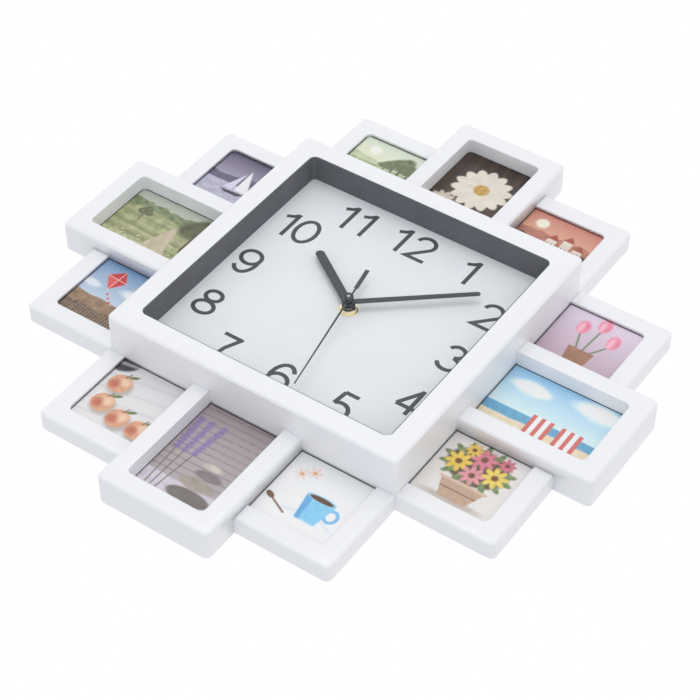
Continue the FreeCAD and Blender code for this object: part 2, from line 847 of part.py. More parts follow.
def battery_contacts():
    """Strips at both ends of the bay, with a sprung tongue on the left and a stud on the right."""
    inner = case_half - case_wall
    rear = battery_out - contact_height / 2
    near = battery_out + contact_height / 2
    low = battery_up - contact_width / 2
    high = battery_up + contact_width / 2
    left_strip = block(-inner, contact_thickness - inner, rear, near, low, high)
    right_strip = block(inner - contact_thickness, inner, rear, near, low, high)
    reach = inner - contact_thickness - battery_half
    half = contact_tongue_width / 2
    points = [at(contact_thickness - inner, rear, battery_up - half), at(contact_thickness - inner, near, battery_up - half),
              at(contact_thickness - inner + reach, battery_out, battery_up - half)]
    tongue = Part.Face(Part.makePolygon(points + points[:1])).extrude(FreeCAD.Vector(0, 0, contact_tongue_width))
    stud = bar_along(battery_nub_radius / 2, reach, inner - contact_thickness - reach, battery_out, battery_up)
    return [left_strip.fuse(tongue), right_strip.fuse(stud)]


# Electric parts of the movement
def stator():
    """Flat iron yoke with a hole for the rotor and two arms up to the coil."""
    rear = stator_rear()
    near = rear + stator_thickness
    across, up = rotor_place
    reach = magnet_radius + stator_gap + stator_margin
    left = across - stator_length / 2
    right = across + stator_length / 2
    top = up + coil_height
    plate = block(left, right, rear, near, up - reach, top)
    window = block(left + stator_arm_width, right - stator_arm_width, rear - overrun, near + overrun,
                   up + reach, top - stator_arm_width / 2)
    hole = rod(magnet_radius + stator_gap, rear - overrun, near + overrun, across, up)
    step_across, step_up = step_place
    gap = pivot_radius + stator_relief
    relief = block(step_across - gap, right + overrun, rear - overrun, near + overrun, step_up - gap, step_up + gap)
    return plate.cut([window, hole, relief])


def coil():
    """Bobbin with its winding on the straight core of the stator."""
    across, up = rotor_place
    middle = level(rotor_level) + magnet_lift + magnet_thickness / 2
    height = up + coil_height - stator_arm_width / 4
    coil_length = stator_length - stator_arm_width * 2 - coil_end_gap * 2
    start = across - coil_length / 2
    winding = bar_along(coil_radius, coil_length, start, middle, height)
    half = bobbin_flange_half
    flanges = []
    for left in (start, start + coil_length - bobbin_flange):
        flanges.append(block(left, left + bobbin_flange, middle - half, middle + half, height - half, height + half))
    slot = block(start - overrun, start + coil_length + overrun, middle - stator_thickness / 2 - running_fit,
                 middle + stator_thickness / 2 + running_fit, height - stator_arm_width / 4 - running_fit,
                 height + stator_arm_width / 4 + running_fit)
    return winding.fuse(flanges).cut(slot).removeSplitter()


def save_electrics():
    save("stator", stator())
    save("coil", coil())
    right = circuit_right
    top = circuit_right
    rear = level(circuit_level)
    near = rear + circuit_thickness
    save("circuit_board", block(right - board_width, right, rear, near, top - board_height, top))
    middle = right - board_width / 2
    can = Part.makeCylinder(crystal_radius, crystal_length,
                            at(middle, near + crystal_radius, top - crystal_length - overrun * 2),
                            FreeCAD.Vector(0, 0, 1))
    save("quartz_crystal", can)
    chip_up = top - board_height * 2 / 3
    half = chip_side / 2
    save("circuit_chip", block(middle - half, middle + half, near, near + chip_height, chip_up - half, chip_up + half))


def save_movement_case():
    save("movement_front_case", movement_front_case())
    save("movement_rear_case", movement_rear_case())
    save("battery", battery())
    save("battery_contacts", Part.makeCompound(battery_contacts()))
    washer_bore = bush_radius + bush_clearance
    half = dial_washer_half
    pad = block(-half, half, case_front, board_rear, -half, half)
    save("dial_washer", pad.cut(rod(washer_bore, case_front - overrun, board_rear + overrun)))
    save("bush_washer", tube(washer_radius, washer_bore, dial_front, dial_front + washer_thickness))
    save("bush_nut", bush_nut())


def bush_nut():
    """Hexagon nut on the bush."""
    rear = dial_front + washer_thickness
    near = rear + nut_thickness
    corner_radius = nut_across_flats / math.sqrt(3)
    corners = [at(*flat_point(moved_from(centre, index * full_turn / 6, corner_radius), rear)) for index in range(7)]
    prism = Part.Face(Part.makePolygon(corners)).extrude(FreeCAD.Vector(0, -nut_thickness, 0))
    return prism.cut(rod(bush_radius + thread_fit, rear - overrun, near + overrun))


def flat_point(place, out):
    return place[0], out, place[1]


# Hands, drawn pointing to twelve o'clock
def blade(root_width, tip_width, length, rear):
    """Flat strip with a round tip, from the axis to its length."""
    straight = length - tip_width / 2
    near = rear + blade_thickness
    points = [at(-root_width / 2, rear, 0), at(-tip_width / 2, rear, straight), at(tip_width / 2, rear, straight),
              at(root_width / 2, rear, 0), at(-root_width / 2, rear, 0)]
    strip = Part.Face(Part.makePolygon(points)).extrude(FreeCAD.Vector(0, -blade_thickness, 0))
    return strip.fuse(rod(tip_width / 2, rear, near, 0, straight))


def hour_hand():
    rear = dial_front + hour_blade_rise
    arm = blade(hour_width, hour_width, hour_length, rear)
    boss = rod(hour_boss_radius, rear - blade_thickness, rear + boss_height - blade_thickness / 2)
    bore = rod(hour_pipe_radius, rear - overrun, rear + boss_height + overrun)
    return spun(joined([arm, boss]).cut(bore), hour_angle)


def minute_hand():
    rear = dial_front + minute_blade_rise
    arm = blade(minute_root_width, minute_tip_width, minute_length, rear)
    boss = rod(minute_boss_radius, rear - blade_thickness, rear + boss_height - blade_thickness / 2)
    bore = rod(minute_pipe_radius, rear - overrun, rear + boss_height + overrun)
    return spun(joined([arm, boss]).cut(bore), minute_angle)


def second_hand():
    rear = dial_front + second_blade_rise
    near = rear + blade_thickness
    arm = blade(second_root_width, second_tip_width, second_length, rear)
    neck = block(-second_neck_width / 2, second_neck_width / 2, rear, near, -second_tail_start, 0)
    tail = block(-second_tail_width / 2, second_tail_width / 2, rear, near, -second_tail_end, -second_tail_start)
    cap = rod(second_boss_radius, rear, near + blade_thickness)
    bore = slim_rod(second_arbor_radius + running_fit, rear - overrun, near)
    return spun(joined([arm, neck, tail, cap]).cut(bore), second_angle)


def setting_knob():
    """Fluted knob at the rear with its shaft and the pinion that turns the motion wheel."""
    near = case_rear - knob_gap
    rear = near - knob_height
    across, up = setting_place
    grip = ridged(knob_radius, rear, near)
    shaft = slim_rod(knob_shaft_radius, near, case_ceiling + case_wall / 2 - pivot_gap, across, up)
    phase = meshing_phase(motion_wheel_phase, motion_wheel_teeth, setting_direction, setting_pinion_teeth)
    pinion = toothed(setting_pinion_teeth, motion_module, level(motion_level), wheel_thickness, setting_place, phase)
    return joined([grip, shaft, pinion])


def ridged(radius, rear, near):
    """Round grip whose edge has straight ridges."""
    corners = []
    pitch = full_turn / knob_ridges
    for index in range(knob_ridges):
        for reach, share in ((radius, -knob_flute_share), (radius, knob_flute_share),
                             (radius - knob_ridge_height, 1 - knob_root_share),
                             (radius - knob_ridge_height, 1 + knob_root_share)):
            place = moved_from(setting_place, (index + share / 2) * pitch, reach)
            corners.append(at(place[0], rear, place[1]))
    outline = Part.makePolygon(corners + corners[:1])
    return Part.Face(outline).extrude(FreeCAD.Vector(0, rear - near, 0))


def save_moving():
    save("hour_hand", hour_hand())
    save("hour_wheel", hour_wheel())
    save("minute_hand", minute_hand())
    save("minute_pipe", minute_pipe())
    save("second_hand", second_hand())
    save("second_wheel", second_wheel())
    save("third_wheel", third_wheel())
    save("centre_wheel", centre_wheel())
    save("motion_wheel", motion_wheel())
    save("step_wheel", step_wheel())
    save("rotor", rotor())
    save("setting_knob", setting_knob())


save("central_housing", central_housing())
save_frames()
save_backing()
save_dial()
save_movement_case()
save_electrics()
save_moving()
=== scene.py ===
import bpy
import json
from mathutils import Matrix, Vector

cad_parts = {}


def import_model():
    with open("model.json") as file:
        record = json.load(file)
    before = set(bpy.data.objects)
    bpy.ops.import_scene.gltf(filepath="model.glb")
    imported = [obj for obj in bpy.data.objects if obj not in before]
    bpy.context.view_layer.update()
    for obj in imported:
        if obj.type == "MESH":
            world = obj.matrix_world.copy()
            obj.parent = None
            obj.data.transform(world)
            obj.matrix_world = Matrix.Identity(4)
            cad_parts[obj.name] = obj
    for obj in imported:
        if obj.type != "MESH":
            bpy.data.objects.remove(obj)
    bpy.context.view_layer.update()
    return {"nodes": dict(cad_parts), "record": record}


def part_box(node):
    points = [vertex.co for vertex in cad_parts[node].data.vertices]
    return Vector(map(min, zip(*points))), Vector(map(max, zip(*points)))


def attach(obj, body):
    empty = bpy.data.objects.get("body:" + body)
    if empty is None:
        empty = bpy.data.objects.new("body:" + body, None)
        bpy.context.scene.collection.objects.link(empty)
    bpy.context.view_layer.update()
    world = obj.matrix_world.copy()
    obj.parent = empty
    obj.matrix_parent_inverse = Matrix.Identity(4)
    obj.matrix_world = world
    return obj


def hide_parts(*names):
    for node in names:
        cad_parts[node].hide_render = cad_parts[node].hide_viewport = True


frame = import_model()

import json
import math

import bmesh
import bpy
import numpy as np
from mathutils import Matrix, Vector

# Photo frame wall clock. Metres, in the CAD's frame: +X towards three o'clock, +Z towards twelve
# o'clock, the face looks along -Y. Below, "across" runs along X, "up" along Z from the hand axis,
# and "out" is the distance from the wall, all three in millimetres, as are the sizes of the pieces.
# The camera, floor and lamps are in metres.
MM = 0.001

# Places read from the frame
sheet_low, sheet_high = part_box("dial_sheet")
nut_low, nut_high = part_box("bush_nut")
lining_low, lining_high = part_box("recess_lining")
AXIS_Z = (sheet_low.z + sheet_high.z) / 2
DIAL_OUT = -sheet_low.y / MM
CAP_FOOT = -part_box("second_hand")[0].y / MM

# Camera, fitted to the photograph
CAMERA_PLACE = (0.60073, -1.02985, -0.97333)
CAMERA_RIGHT = (0.82264, -0.00449, 0.56855)
CAMERA_UP = (-0.40188, -0.71196, 0.57586)
CAMERA_REACH = 20.0
FOCAL_PIXELS = 2112.26
IMAGE_PIXELS = 700
SENSOR_MM = 36.0

# Finishes
TONE_LOW = 0.35
TONE_HIGH = 0.65
NOISE_DETAIL = 4.0
RELIEF_STRENGTH = 0.5
COAT_ROUGHNESS = 0.12
SHEET_ROUGHNESS = 0.15
SHEET_SHEEN = 0.03
PAPER_ROUGHNESS = 0.5
PAPER_SHEEN = 0.25
PAPER_RELIEF = 900.0
PAPER_RELIEF_STRENGTH = 0.15
PAPER_RELIEF_DEPTH = 0.03

# Rounded edges near the fronts of the moulding and the hands
EDGE_SOFTNESS = 0.55
EDGE_BAND = 1.7
HAND_SOFTNESS = 0.12
HAND_BAND = 2.5
EDGE_SEGMENTS = 3
EDGE_PROFILE = 0.5
EDGE_DEGREES = 25.0
FLAT_DEGREES = 0.5
SHARP_DEGREES = 35.0
SAME_PLACE = 0.002

# Lining of the recess and its white lip
LINING_CLEARANCE = 0.1
LINING_THICKNESS = 0.8
LINING_CORNER = 3.2
CORNER_POINTS = 9
LIP_EDGE = 0.02
LIP_SLOPE = 0.08
LIP_BEVEL = 0.3
LIP_BANDS = range(1, 5)

# Sides of the turned shapes
ROUND_SIDES = 48
SCREW_SIDES = 28
PIN_SIDES = 24

# Cap of the second hand, with a pin in its shallow dish
CAP_RADIUS = 3.5
CAP_RISE = 3.1
CAP_BEVEL = 0.2
CAP_ROUND = 0.3
DISH_RADIUS = 1.6
DISH_SLOPE = 0.2
DISH_DEPTH = 0.15
PIN_RADIUS = 1.1
PIN_CROWN = 0.66
PIN_SINK = 0.2
PIN_STEM = 0.2
PIN_SHOULDER = 0.35
PIN_RISE = 0.4

# Nut and threaded end of the bush
NUT_FLATS = 12.0
NUT_BEVEL_DEPTH = 0.42
NUT_BORE = 4.1
NUT_BORE_BEVEL = 0.5
NUT_SHARP_DEGREES = 25.0
THREAD_RADIUS = 4.05
THREAD_RISE = 3.74
THREAD_PITCH = 0.5
THREAD_DEPTH = 0.2
THREAD_SINK = 1.0
SLEEVE_INSET = 0.3
SLEEVE_BEVEL = 0.3
SLEEVE_WALL = 0.9
SLEEVE_LIP = 0.1

# Screws of the dial board, their radii and depths from the top of the head
SCREW_HEAD = 2.9
SCREW_FACE_SHARE = 0.55
SCREW_SHOULDER_SHARE = 0.85
SCREW_SHOULDER = 0.3
SCREW_ROUND = 1.0
SCREW_HEAD_DEPTH = 1.9
SCREW_SHANK = 1.3
SCREW_LENGTH = 10.9
SCREW_TIP = 1.9
RECESS_WIDTH = 0.8
RECESS_LENGTH = 3.4
RECESS_DEPTH = 0.9
RECESS_OVERRUN = 0.5

# Battery, its radii as shares of the cell's
CELL_BUTTON = 1.3
CELL_ROLL = 1.0
CELL_ROLL_MIDDLE = 0.4
BUTTON_BEVEL = 0.2
CELL_SAME_PLACE = 0.01
ROLL_SHARE = 0.97
REAR_FACE_SHARE = 0.86
FRONT_FACE_SHARE = 0.84
CONTACT_SHARE = 0.3
BUTTON_SHARE = 0.38
BUTTON_TOP_SHARE = 0.34
BAND_START_SHARE = 0.68

# Numerals
DIGIT_HEIGHT = 27.0
DIGIT_STROKE = 3.15
INK_RISE = 0.04
INK_FOOT = 0.01
ARC_STEPS = 26
BACK_STEPS = 34
RING_STEPS = 48
ZERO_STEPS = 60
JOIN_REACH = 0.01
MITRE_LIMIT = 0.35
DIGIT_GAPS = {"10": 15.2, "11": 15.6, "12": 17.2}
NUMERALS = {"12": (-0.7, 81.2), "1": (49.4, 79.7), "2": (84.3, 49.0), "3": (85.3, 0.0), "4": (84.4, -49.4),
            "5": (48.8, -79.2), "6": (0.0, -80.3), "7": (-48.1, -79.7), "8": (-84.0, -49.8),
            "9": (-86.7, -0.5), "10": (-78.3, 48.7), "11": (-47.1, 79.7)}

# Pictures: the paint's grid and grain, the painted shadow of the gap round each print, and how much some are
# lightened with painted light
PAINT_STEP = 0.5
PAINT_SPECKLE = 0.03
PAINT_DARKEST = 0.005
PAINT_LIGHTEST = 0.95
GRAIN_OCTAVES = 3
GRAIN_WAVES = 5
GAP_SHADOW_BORDER = 2.15
GAP_SHADOW_TONE = 0.03
PAPER_SETBACK = 0.08
# Painted light: these pictures' colours are brightened to stand in for more light reaching them in their deep
# windows
PICTURE_PAINTED_LIGHT = {"right": 1.18, "right_upper": 1.33, "bottom_right": 1.15, "left_upper": 1.06,
                 "top_left": 1.06}

# Frames round the housing, raised and low
SIDES =("right", "bottom", "left", "top")
LOW_SIDES = ("right_upper", "bottom_right", "left_lower", "top_left", "right_lower", "bottom_left",
             "left_upper", "top_right")

# Stage and light, with each lamp's place from the middle of the dial, its size and its power in watts
FLOOR_DROP = 1.3
FLOOR_SIZE = 60.0
FLOOR_WHITE = 0.88
WORLD_LIGHT = 0.83
WORLD_TINT = (0.985, 0.99, 1.0)
LAMPS = {"key_light": ((-0.25, -1.9, 0.45), 0.9, 5.0),
         "fill_light": ((0.7, -1.5, -0.8), 1.0, 2.2),
         "rear_light": ((-0.6, 1.8, 0.9), 1.6, 4.0)}


def point(across, up, out):
    return Vector((across * MM, -out * MM, AXIS_Z + up * MM))


def linear(red, green, blue):
    """Scene colour of a display colour given from 0 to 255."""
    shares = (value / 255 for value in (red, green, blue))
    return tuple(share / 12.92 if share <= 0.04045 else ((share + 0.055) / 1.055) ** 2.4 for share in shares)


# Materials
def principled(name):
    """New material with its nodes, links and main shader."""
    material = bpy.data.materials.new(name)
    material.use_nodes = True
    nodes = material.node_tree.nodes
    return material, nodes, material.node_tree.links, nodes["Principled BSDF"]


def noise(nodes, links, scale, stretch=None):
    """Noise fixed to the piece, its scale in bumps per metre, drawn out along an axis if asked."""
    place = nodes.new("ShaderNodeTexCoord")
    texture = nodes.new("ShaderNodeTexNoise")
    texture.inputs["Scale"].default_value = scale
    texture.inputs["Detail"].default_value = NOISE_DETAIL
    source = place.outputs["Object"]
    if stretch:
        mapping = nodes.new("ShaderNodeMapping")
        mapping.inputs["Scale"].default_value = stretch
        links.new(source, mapping.inputs["Vector"])
        source = mapping.outputs["Vector"]
    links.new(source, texture.inputs["Vector"])
    return texture.outputs["Fac"]


def relief(nodes, links, shader, height, strength, depth):
    """Fine relief on a shader from a height between 0 and 1, its depth in millimetres."""
    node = nodes.new("ShaderNodeBump")
    node.inputs["Strength"].default_value = strength
    node.inputs["Distance"].default_value = depth * MM
    links.new(height, node.inputs["Height"])
    links.new(node.outputs["Normal"], shader.inputs["Normal"])


def surface(name, colour, other, roughness, drift, grain, depth, metallic=0.0, coat=0.0, stretch=None):
    """Finish whose colour drifts between two near tones and whose surface has a fine relief.

    The scales of the drift and of the relief's grain are per metre, and its depth is in millimetres.
    """
    material, nodes, links, shader = principled(name)
    ramp = nodes.new("ShaderNodeValToRGB")
    ramp.color_ramp.elements[0].position = TONE_LOW
    ramp.color_ramp.elements[1].position = TONE_HIGH
    ramp.color_ramp.elements[0].color = (*linear(*other), 1)
    ramp.color_ramp.elements[1].color = (*linear(*colour), 1)
    links.new(noise(nodes, links, drift, stretch=stretch), ramp.inputs["Fac"])
    links.new(ramp.outputs["Color"], shader.inputs["Base Color"])
    relief(nodes, links, shader, noise(nodes, links, grain, stretch=stretch), RELIEF_STRENGTH, depth)
    shader.inputs["Roughness"].default_value = roughness
    shader.inputs["Metallic"].default_value = metallic
    shader.inputs["Coat Weight"].default_value = coat
    shader.inputs["Coat Roughness"].default_value = COAT_ROUGHNESS
    return material


def clear_sheet():
    """Thin clear plastic: see-through with a slight sheen at low angles."""
    material, nodes, links, shader = principled("clear_plastic_sheet")
    nodes.remove(shader)
    through = nodes.new("ShaderNodeBsdfTransparent")
    gloss = nodes.new("ShaderNodeBsdfGlossy")
    gloss.inputs["Roughness"].default_value = SHEET_ROUGHNESS
    angle = nodes.new("ShaderNodeLayerWeight")
    angle.inputs["Blend"].default_value = SHEET_SHEEN
    mix = nodes.new("ShaderNodeMixShader")
    links.new(angle.outputs["Facing"], mix.inputs["Fac"])
    links.new(through.outputs["BSDF"], mix.inputs[1])
    links.new(gloss.outputs["BSDF"], mix.inputs[2])
    links.new(mix.outputs["Shader"], nodes["Material Output"].inputs["Surface"])
    return material


def photo_print():
    """Glossy photo paper that shows the colours painted on the picture's mesh."""
    material, nodes, links, shader = principled("photo_paper")
    paint = nodes.new("ShaderNodeAttribute")
    paint.attribute_name = "paint"
    links.new(paint.outputs["Color"], shader.inputs["Base Color"])
    relief(nodes, links, shader, noise(nodes, links, PAPER_RELIEF), PAPER_RELIEF_STRENGTH, PAPER_RELIEF_DEPTH)
    shader.inputs["Roughness"].default_value = PAPER_ROUGHNESS
    shader.inputs["Specular IOR Level"].default_value = PAPER_SHEEN
    return material


def plastics():
    return {
        "white_moulding": surface("white_moulded_plastic", (246, 247, 250), (244, 245, 248), 0.34,
                                  14.0, 2600.0, 0.02, coat=0.25),
        "cap_plastic": surface("black_cap_plastic", (52, 54, 60), (46, 48, 54), 0.3,
                               200.0, 4000.0, 0.01, coat=0.4),
        "movement_case": surface("black_movement_plastic", (34, 34, 36), (28, 28, 30), 0.5,
                                 60.0, 3000.0, 0.06),
        "wheel_plastic": surface("acetal_plastic", (226, 222, 206), (214, 210, 194), 0.42,
                                 90.0, 2600.0, 0.02),
        "chip_black": surface("black_resin", (26, 26, 27), (20, 20, 21), 0.5, 700.0, 2600.0, 0.03),
        "rubber_black": surface("black_rubber", (30, 30, 31), (24, 24, 25), 0.75, 400.0, 2600.0, 0.05),
        "circuit_green": surface("green_laminate", (40, 96, 60), (32, 84, 52), 0.35,
                                 500.0, 2600.0, 0.01, coat=0.3),
        "clear_sheet": clear_sheet(),
    }


def papers_and_paints():
    return {
        "grey_lining": surface("anthracite_lining", (102, 104, 110), (96, 98, 104), 0.62,
                               40.0, 5200.0, 0.03),
        "dial_card": surface("white_dial_card", (240, 242, 246), (237, 239, 243), 0.6,
                             30.0, 3600.0, 0.01),
        "hardboard": surface("pressed_hardboard", (126, 92, 62), (98, 70, 46), 0.78, 900.0, 1500.0, 0.08),
        "hand_paint": surface("charcoal_hand_enamel", (70, 74, 80), (64, 68, 74), 0.42,
                              120.0, 5000.0, 0.01),
        "ink": surface("charcoal_dial_ink", (80, 84, 89), (74, 78, 83), 0.55, 160.0, 6000.0, 0.01),
        "cell_jacket": surface("cell_jacket", (58, 74, 96), (52, 68, 90), 0.3, 60.0, 1200.0, 0.01, coat=0.4),
        "cell_band": surface("cell_band", (196, 154, 84), (186, 144, 76), 0.3, 60.0, 1200.0, 0.01, coat=0.4),
        "print": photo_print(),
    }


def metals():
    return {
        "brass_turned": surface("turned_brass", (250, 243, 220), (238, 227, 194), 0.32,
                                300.0, 2600.0, 0.01, metallic=1.0),
        "steel": surface("plain_steel", (176, 178, 182), (158, 160, 164), 0.32,
                         400.0, 3200.0, 0.01, metallic=1.0),
        "magnet": surface("sintered_magnet", (74, 74, 78), (60, 60, 64), 0.55,
                          700.0, 3000.0, 0.03, metallic=0.6),
        "winding": surface("copper_wire", (196, 112, 62), (160, 84, 44), 0.36,
                           1500.0, 4200.0, 0.06, metallic=0.8, stretch=(6.0, 1.0, 1.0)),
    }


materials = {**plastics(), **papers_and_paints(), **metals()}


def dress_cad_nodes():
    """Gives every CAD node the finish of its slot in the record."""
    for entry in frame["record"]["subparts"]:
        slot = entry["material_slot"]
        node = frame["nodes"][entry["node"]]
        node.data.materials.clear()
        node.data.materials.append(materials["print" if slot.startswith("print_") else slot])


# Pieces
def add_piece(name, mesh, material, body, replaced=()):
    mesh.materials.clear()
    mesh.materials.append(materials[material])
    piece = bpy.data.objects.new(name, mesh)
    bpy.context.scene.collection.objects.link(piece)
    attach(piece, body)
    if replaced:
        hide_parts(*replaced)
    return piece


def plain_mesh(bm, name):
    mesh = bpy.data.meshes.new(name)
    bm.to_mesh(mesh)
    bm.free()
    return mesh


def mesh_from(bm, name, sharp_degrees=SHARP_DEGREES):
    """Mesh with outward faces, smooth but for its sharp edges."""
    bmesh.ops.recalc_face_normals(bm, faces=bm.faces)
    mesh = plain_mesh(bm, name)
    mesh.shade_smooth()
    mesh.set_sharp_from_angle(angle=math.radians(sharp_degrees))
    return mesh


def round_turns(sides):
    """Evenly spread angles round a circle."""
    return [2 * math.pi * index / sides for index in range(sides)]


def join_rings(bm, rings):
    """Faces between neighbouring rings of vertices, band by band. A ring of one vertex is a tip."""
    count = max(len(ring) for ring in rings)
    bands = []
    for first, second in zip(rings, rings[1:]):
        band = []
        for index in range(count):
            after = (index + 1) % count
            corners = [first[index % len(first)], first[after % len(first)], second[after % len(second)],
                       second[index % len(second)]]
            band.append(bm.faces.new(list(dict.fromkeys(corners))))
        bands.append(band)
    return bands


def turned_shape(name, profile, foot, sides=ROUND_SIDES):
    """Shape turned about the hand axis from pairs of radius and height over its foot."""
    bm = bmesh.new()
    rings = []
    for radius, height in profile:
        turns = round_turns(sides) if radius else [0.0]
        rings.append([bm.verts.new(point(radius * math.sin(turn), radius * math.cos(turn), foot + height))
                      for turn in turns])
    join_rings(bm, rings)
    return mesh_from(bm, name)


def softened(node, softness, band, material, body, plain_reach=0.0):
    """Copy of a CAD node whose sharp edges near its front are rounded, but for those near the axis."""
    source = frame["nodes"][node]
    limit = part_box(node)[0].y + band * MM
    bm = bmesh.new()
    bm.from_mesh(source.data)
    bmesh.ops.remove_doubles(bm, verts=bm.verts, dist=SAME_PLACE * MM)
    bmesh.ops.dissolve_limit(bm, angle_limit=math.radians(FLAT_DEGREES), verts=bm.verts, edges=bm.edges)
    edges = []
    for edge in bm.edges:
        near = all(vertex.co.y < limit for vertex in edge.verts)
        reach = max(max(abs(vertex.co.x), abs(vertex.co.z - AXIS_Z)) for vertex in edge.verts)
        if near and reach > plain_reach and len(edge.link_faces) == 2:
            if edge.calc_face_angle(0) > math.radians(EDGE_DEGREES):
                edges.append(edge)
    bmesh.ops.bevel(bm, geom=edges, offset=softness * MM, offset_type="OFFSET", segments=EDGE_SEGMENTS,
                    profile=EDGE_PROFILE, affect="EDGES", clamp_overlap=True)
    return add_piece(node + "_softened", mesh_from(bm, node), material, body, [node])


def moulding():
    """Housing and frames with softly rounded rims and window edges, but plain round the lining."""
    lining_reach = (lining_high.x - lining_low.x) / 2 + LINING_CLEARANCE * MM
    softened("central_housing", EDGE_SOFTNESS, EDGE_BAND, "white_moulding", "clock_body",
             lining_reach)
    frames = ["raised_frame_" + side for side in SIDES] + ["low_frame_" + side for side in LOW_SIDES]
    for name in frames:
        softened(name, EDGE_SOFTNESS, EDGE_BAND, "white_moulding", "clock_body")


def rounded_square(half, radius, out):
    """Points of a square about the axis with rounded corners, at a distance out."""
    points = []
    for quarter, (right, top) in enumerate(((1, 1), (-1, 1), (-1, -1), (1, -1))):
        for index in range(CORNER_POINTS):
            turn = math.pi / 2 * (quarter + index / (CORNER_POINTS - 1))
            points.append(point(right * (half - radius) + radius * math.cos(turn),
                                top * (half - radius) + radius * math.sin(turn), out))
    return points


def lining():
    """Dark card round the recess, with a white lip along its front edge.

    Its corners stay in front of the housing's, which would show through a sharper fold.
    """
    half = (lining_high.x - lining_low.x) / MM / 2
    inner = half - LINING_THICKNESS
    front = -lining_low.y / MM
    rear = -lining_high.y / MM
    rows = [(half, rear), (half, front - LIP_EDGE), (half, front), (inner + LIP_BEVEL, front),
            (inner + LIP_SLOPE, front - LIP_SLOPE), (inner, front - LIP_BEVEL), (inner, rear)]
    bm = bmesh.new()
    rings = [[bm.verts.new(place) for place in rounded_square(reach, LINING_CORNER + reach - inner, out)]
             for reach, out in rows]
    for number, band in enumerate(join_rings(bm, rings + rings[:1])):
        for face in band:
            face.material_index = 1 if number in LIP_BANDS else 0
    piece = add_piece("recess_lining_dressed", mesh_from(bm, "recess_lining"), "grey_lining",
                      "clock_body", ["recess_lining"])
    piece.data.materials.append(materials["white_moulding"])


def hands():
    """Painted hands with slightly rounded edges, and the tall cap of the second hand with its pin."""
    for name in ("hour_hand", "minute_hand", "second_hand"):
        softened(name, HAND_SOFTNESS, HAND_BAND, "hand_paint", name + "_set")
    dish = CAP_RISE - DISH_DEPTH
    profile = [(CAP_RADIUS - CAP_BEVEL, 0.0), (CAP_RADIUS, CAP_BEVEL), (CAP_RADIUS, CAP_RISE - CAP_ROUND),
               (CAP_RADIUS - CAP_ROUND / 3, CAP_RISE - CAP_ROUND / 3), (CAP_RADIUS - CAP_ROUND, CAP_RISE),
               (DISH_RADIUS, CAP_RISE), (DISH_RADIUS - DISH_SLOPE, dish), (0.0, dish)]
    cap = turned_shape("second_hand_cap", profile, CAP_FOOT)
    add_piece("second_hand_cap", cap, "cap_plastic", "second_hand_set")
    rim = [(0.0, 0.0), (PIN_RADIUS, 0.0), (PIN_RADIUS, PIN_STEM), (PIN_CROWN, PIN_SHOULDER), (0.0, PIN_RISE)]
    pin = turned_shape("second_hand_pin", rim, CAP_FOOT + CAP_RISE - PIN_SINK, PIN_SIDES)
    add_piece("second_hand_pin", pin, "steel", "second_hand_set")


def nut():
    """Hexagon nut with bevelled corners."""
    foot = -nut_high.y / MM
    top = -nut_low.y / MM
    corner = NUT_FLATS / math.sqrt(3)
    rows = [(corner, foot), (corner, top - NUT_BEVEL_DEPTH), (NUT_FLATS / 2, top),
            (NUT_BORE + NUT_BORE_BEVEL, top), (NUT_BORE, top - NUT_BORE_BEVEL), (NUT_BORE, foot)]
    bm = bmesh.new()
    rings = []
    for reach, out in rows:
        ring = []
        for turn in round_turns(ROUND_SIDES):
            fold = (turn + math.pi / 6) % (math.pi / 3) - math.pi / 6
            radius = min(reach, NUT_FLATS / 2 / math.cos(fold))
            ring.append(bm.verts.new(point(radius * math.cos(turn), radius * math.sin(turn), out)))
        rings.append(ring)
    join_rings(bm, rings + rings[:1])
    add_piece("brass_nut", mesh_from(bm, "brass_nut", NUT_SHARP_DEGREES), "brass_turned",
              "clock_body", ["bush_nut"])


def bush_thread():
    """Threaded sleeve on the end of the bush, from inside the nut outwards."""
    foot = -nut_low.y / MM - THREAD_SINK
    end = DIAL_OUT + THREAD_RISE - foot
    root = THREAD_RADIUS - THREAD_DEPTH
    bore = THREAD_RADIUS - SLEEVE_WALL
    profile = [(NUT_BORE - SLEEVE_INSET, 0.0)]
    rise = 0.0
    while rise + THREAD_PITCH < end:
        profile += [(root, rise), (THREAD_RADIUS, rise + THREAD_PITCH / 2)]
        rise += THREAD_PITCH
    profile += [(root, rise), (THREAD_RADIUS - SLEEVE_BEVEL, end), (bore, end), (bore, end - SLEEVE_LIP)]
    sleeve = turned_shape("bush_thread", profile, foot)
    add_piece("bush_thread", sleeve, "brass_turned", "clock_body")


def dial_screws():
    """Pan-head screws with a cross recess, at the corners of the dial board."""
    low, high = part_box("dial_screws")
    rear = -high.y / MM
    reach = (high.x - low.x) / MM / 2 - SCREW_HEAD
    profile = [(0.0, 0.0), (SCREW_HEAD * SCREW_FACE_SHARE, 0.0),
               (SCREW_HEAD * SCREW_SHOULDER_SHARE, SCREW_SHOULDER), (SCREW_HEAD, SCREW_ROUND),
               (SCREW_HEAD, SCREW_HEAD_DEPTH), (SCREW_SHANK, SCREW_HEAD_DEPTH),
               (SCREW_SHANK, SCREW_LENGTH - SCREW_TIP), (0.0, SCREW_LENGTH)]
    for number, (right, top) in enumerate(((1, 1), (1, -1), (-1, -1), (-1, 1))):
        mesh = turned_shape("screw", profile, rear, SCREW_SIDES)
        mesh.transform(Matrix.Translation((right * reach * MM, 0, top * reach * MM)))
        piece = add_piece("dial_screw_%d" % number, mesh, "steel", "clock_body", ["dial_screws"])
        for wide, tall in ((RECESS_WIDTH, RECESS_LENGTH), (RECESS_LENGTH, RECESS_WIDTH)):
            cut_slot(piece, right * reach, top * reach, rear, wide, tall)


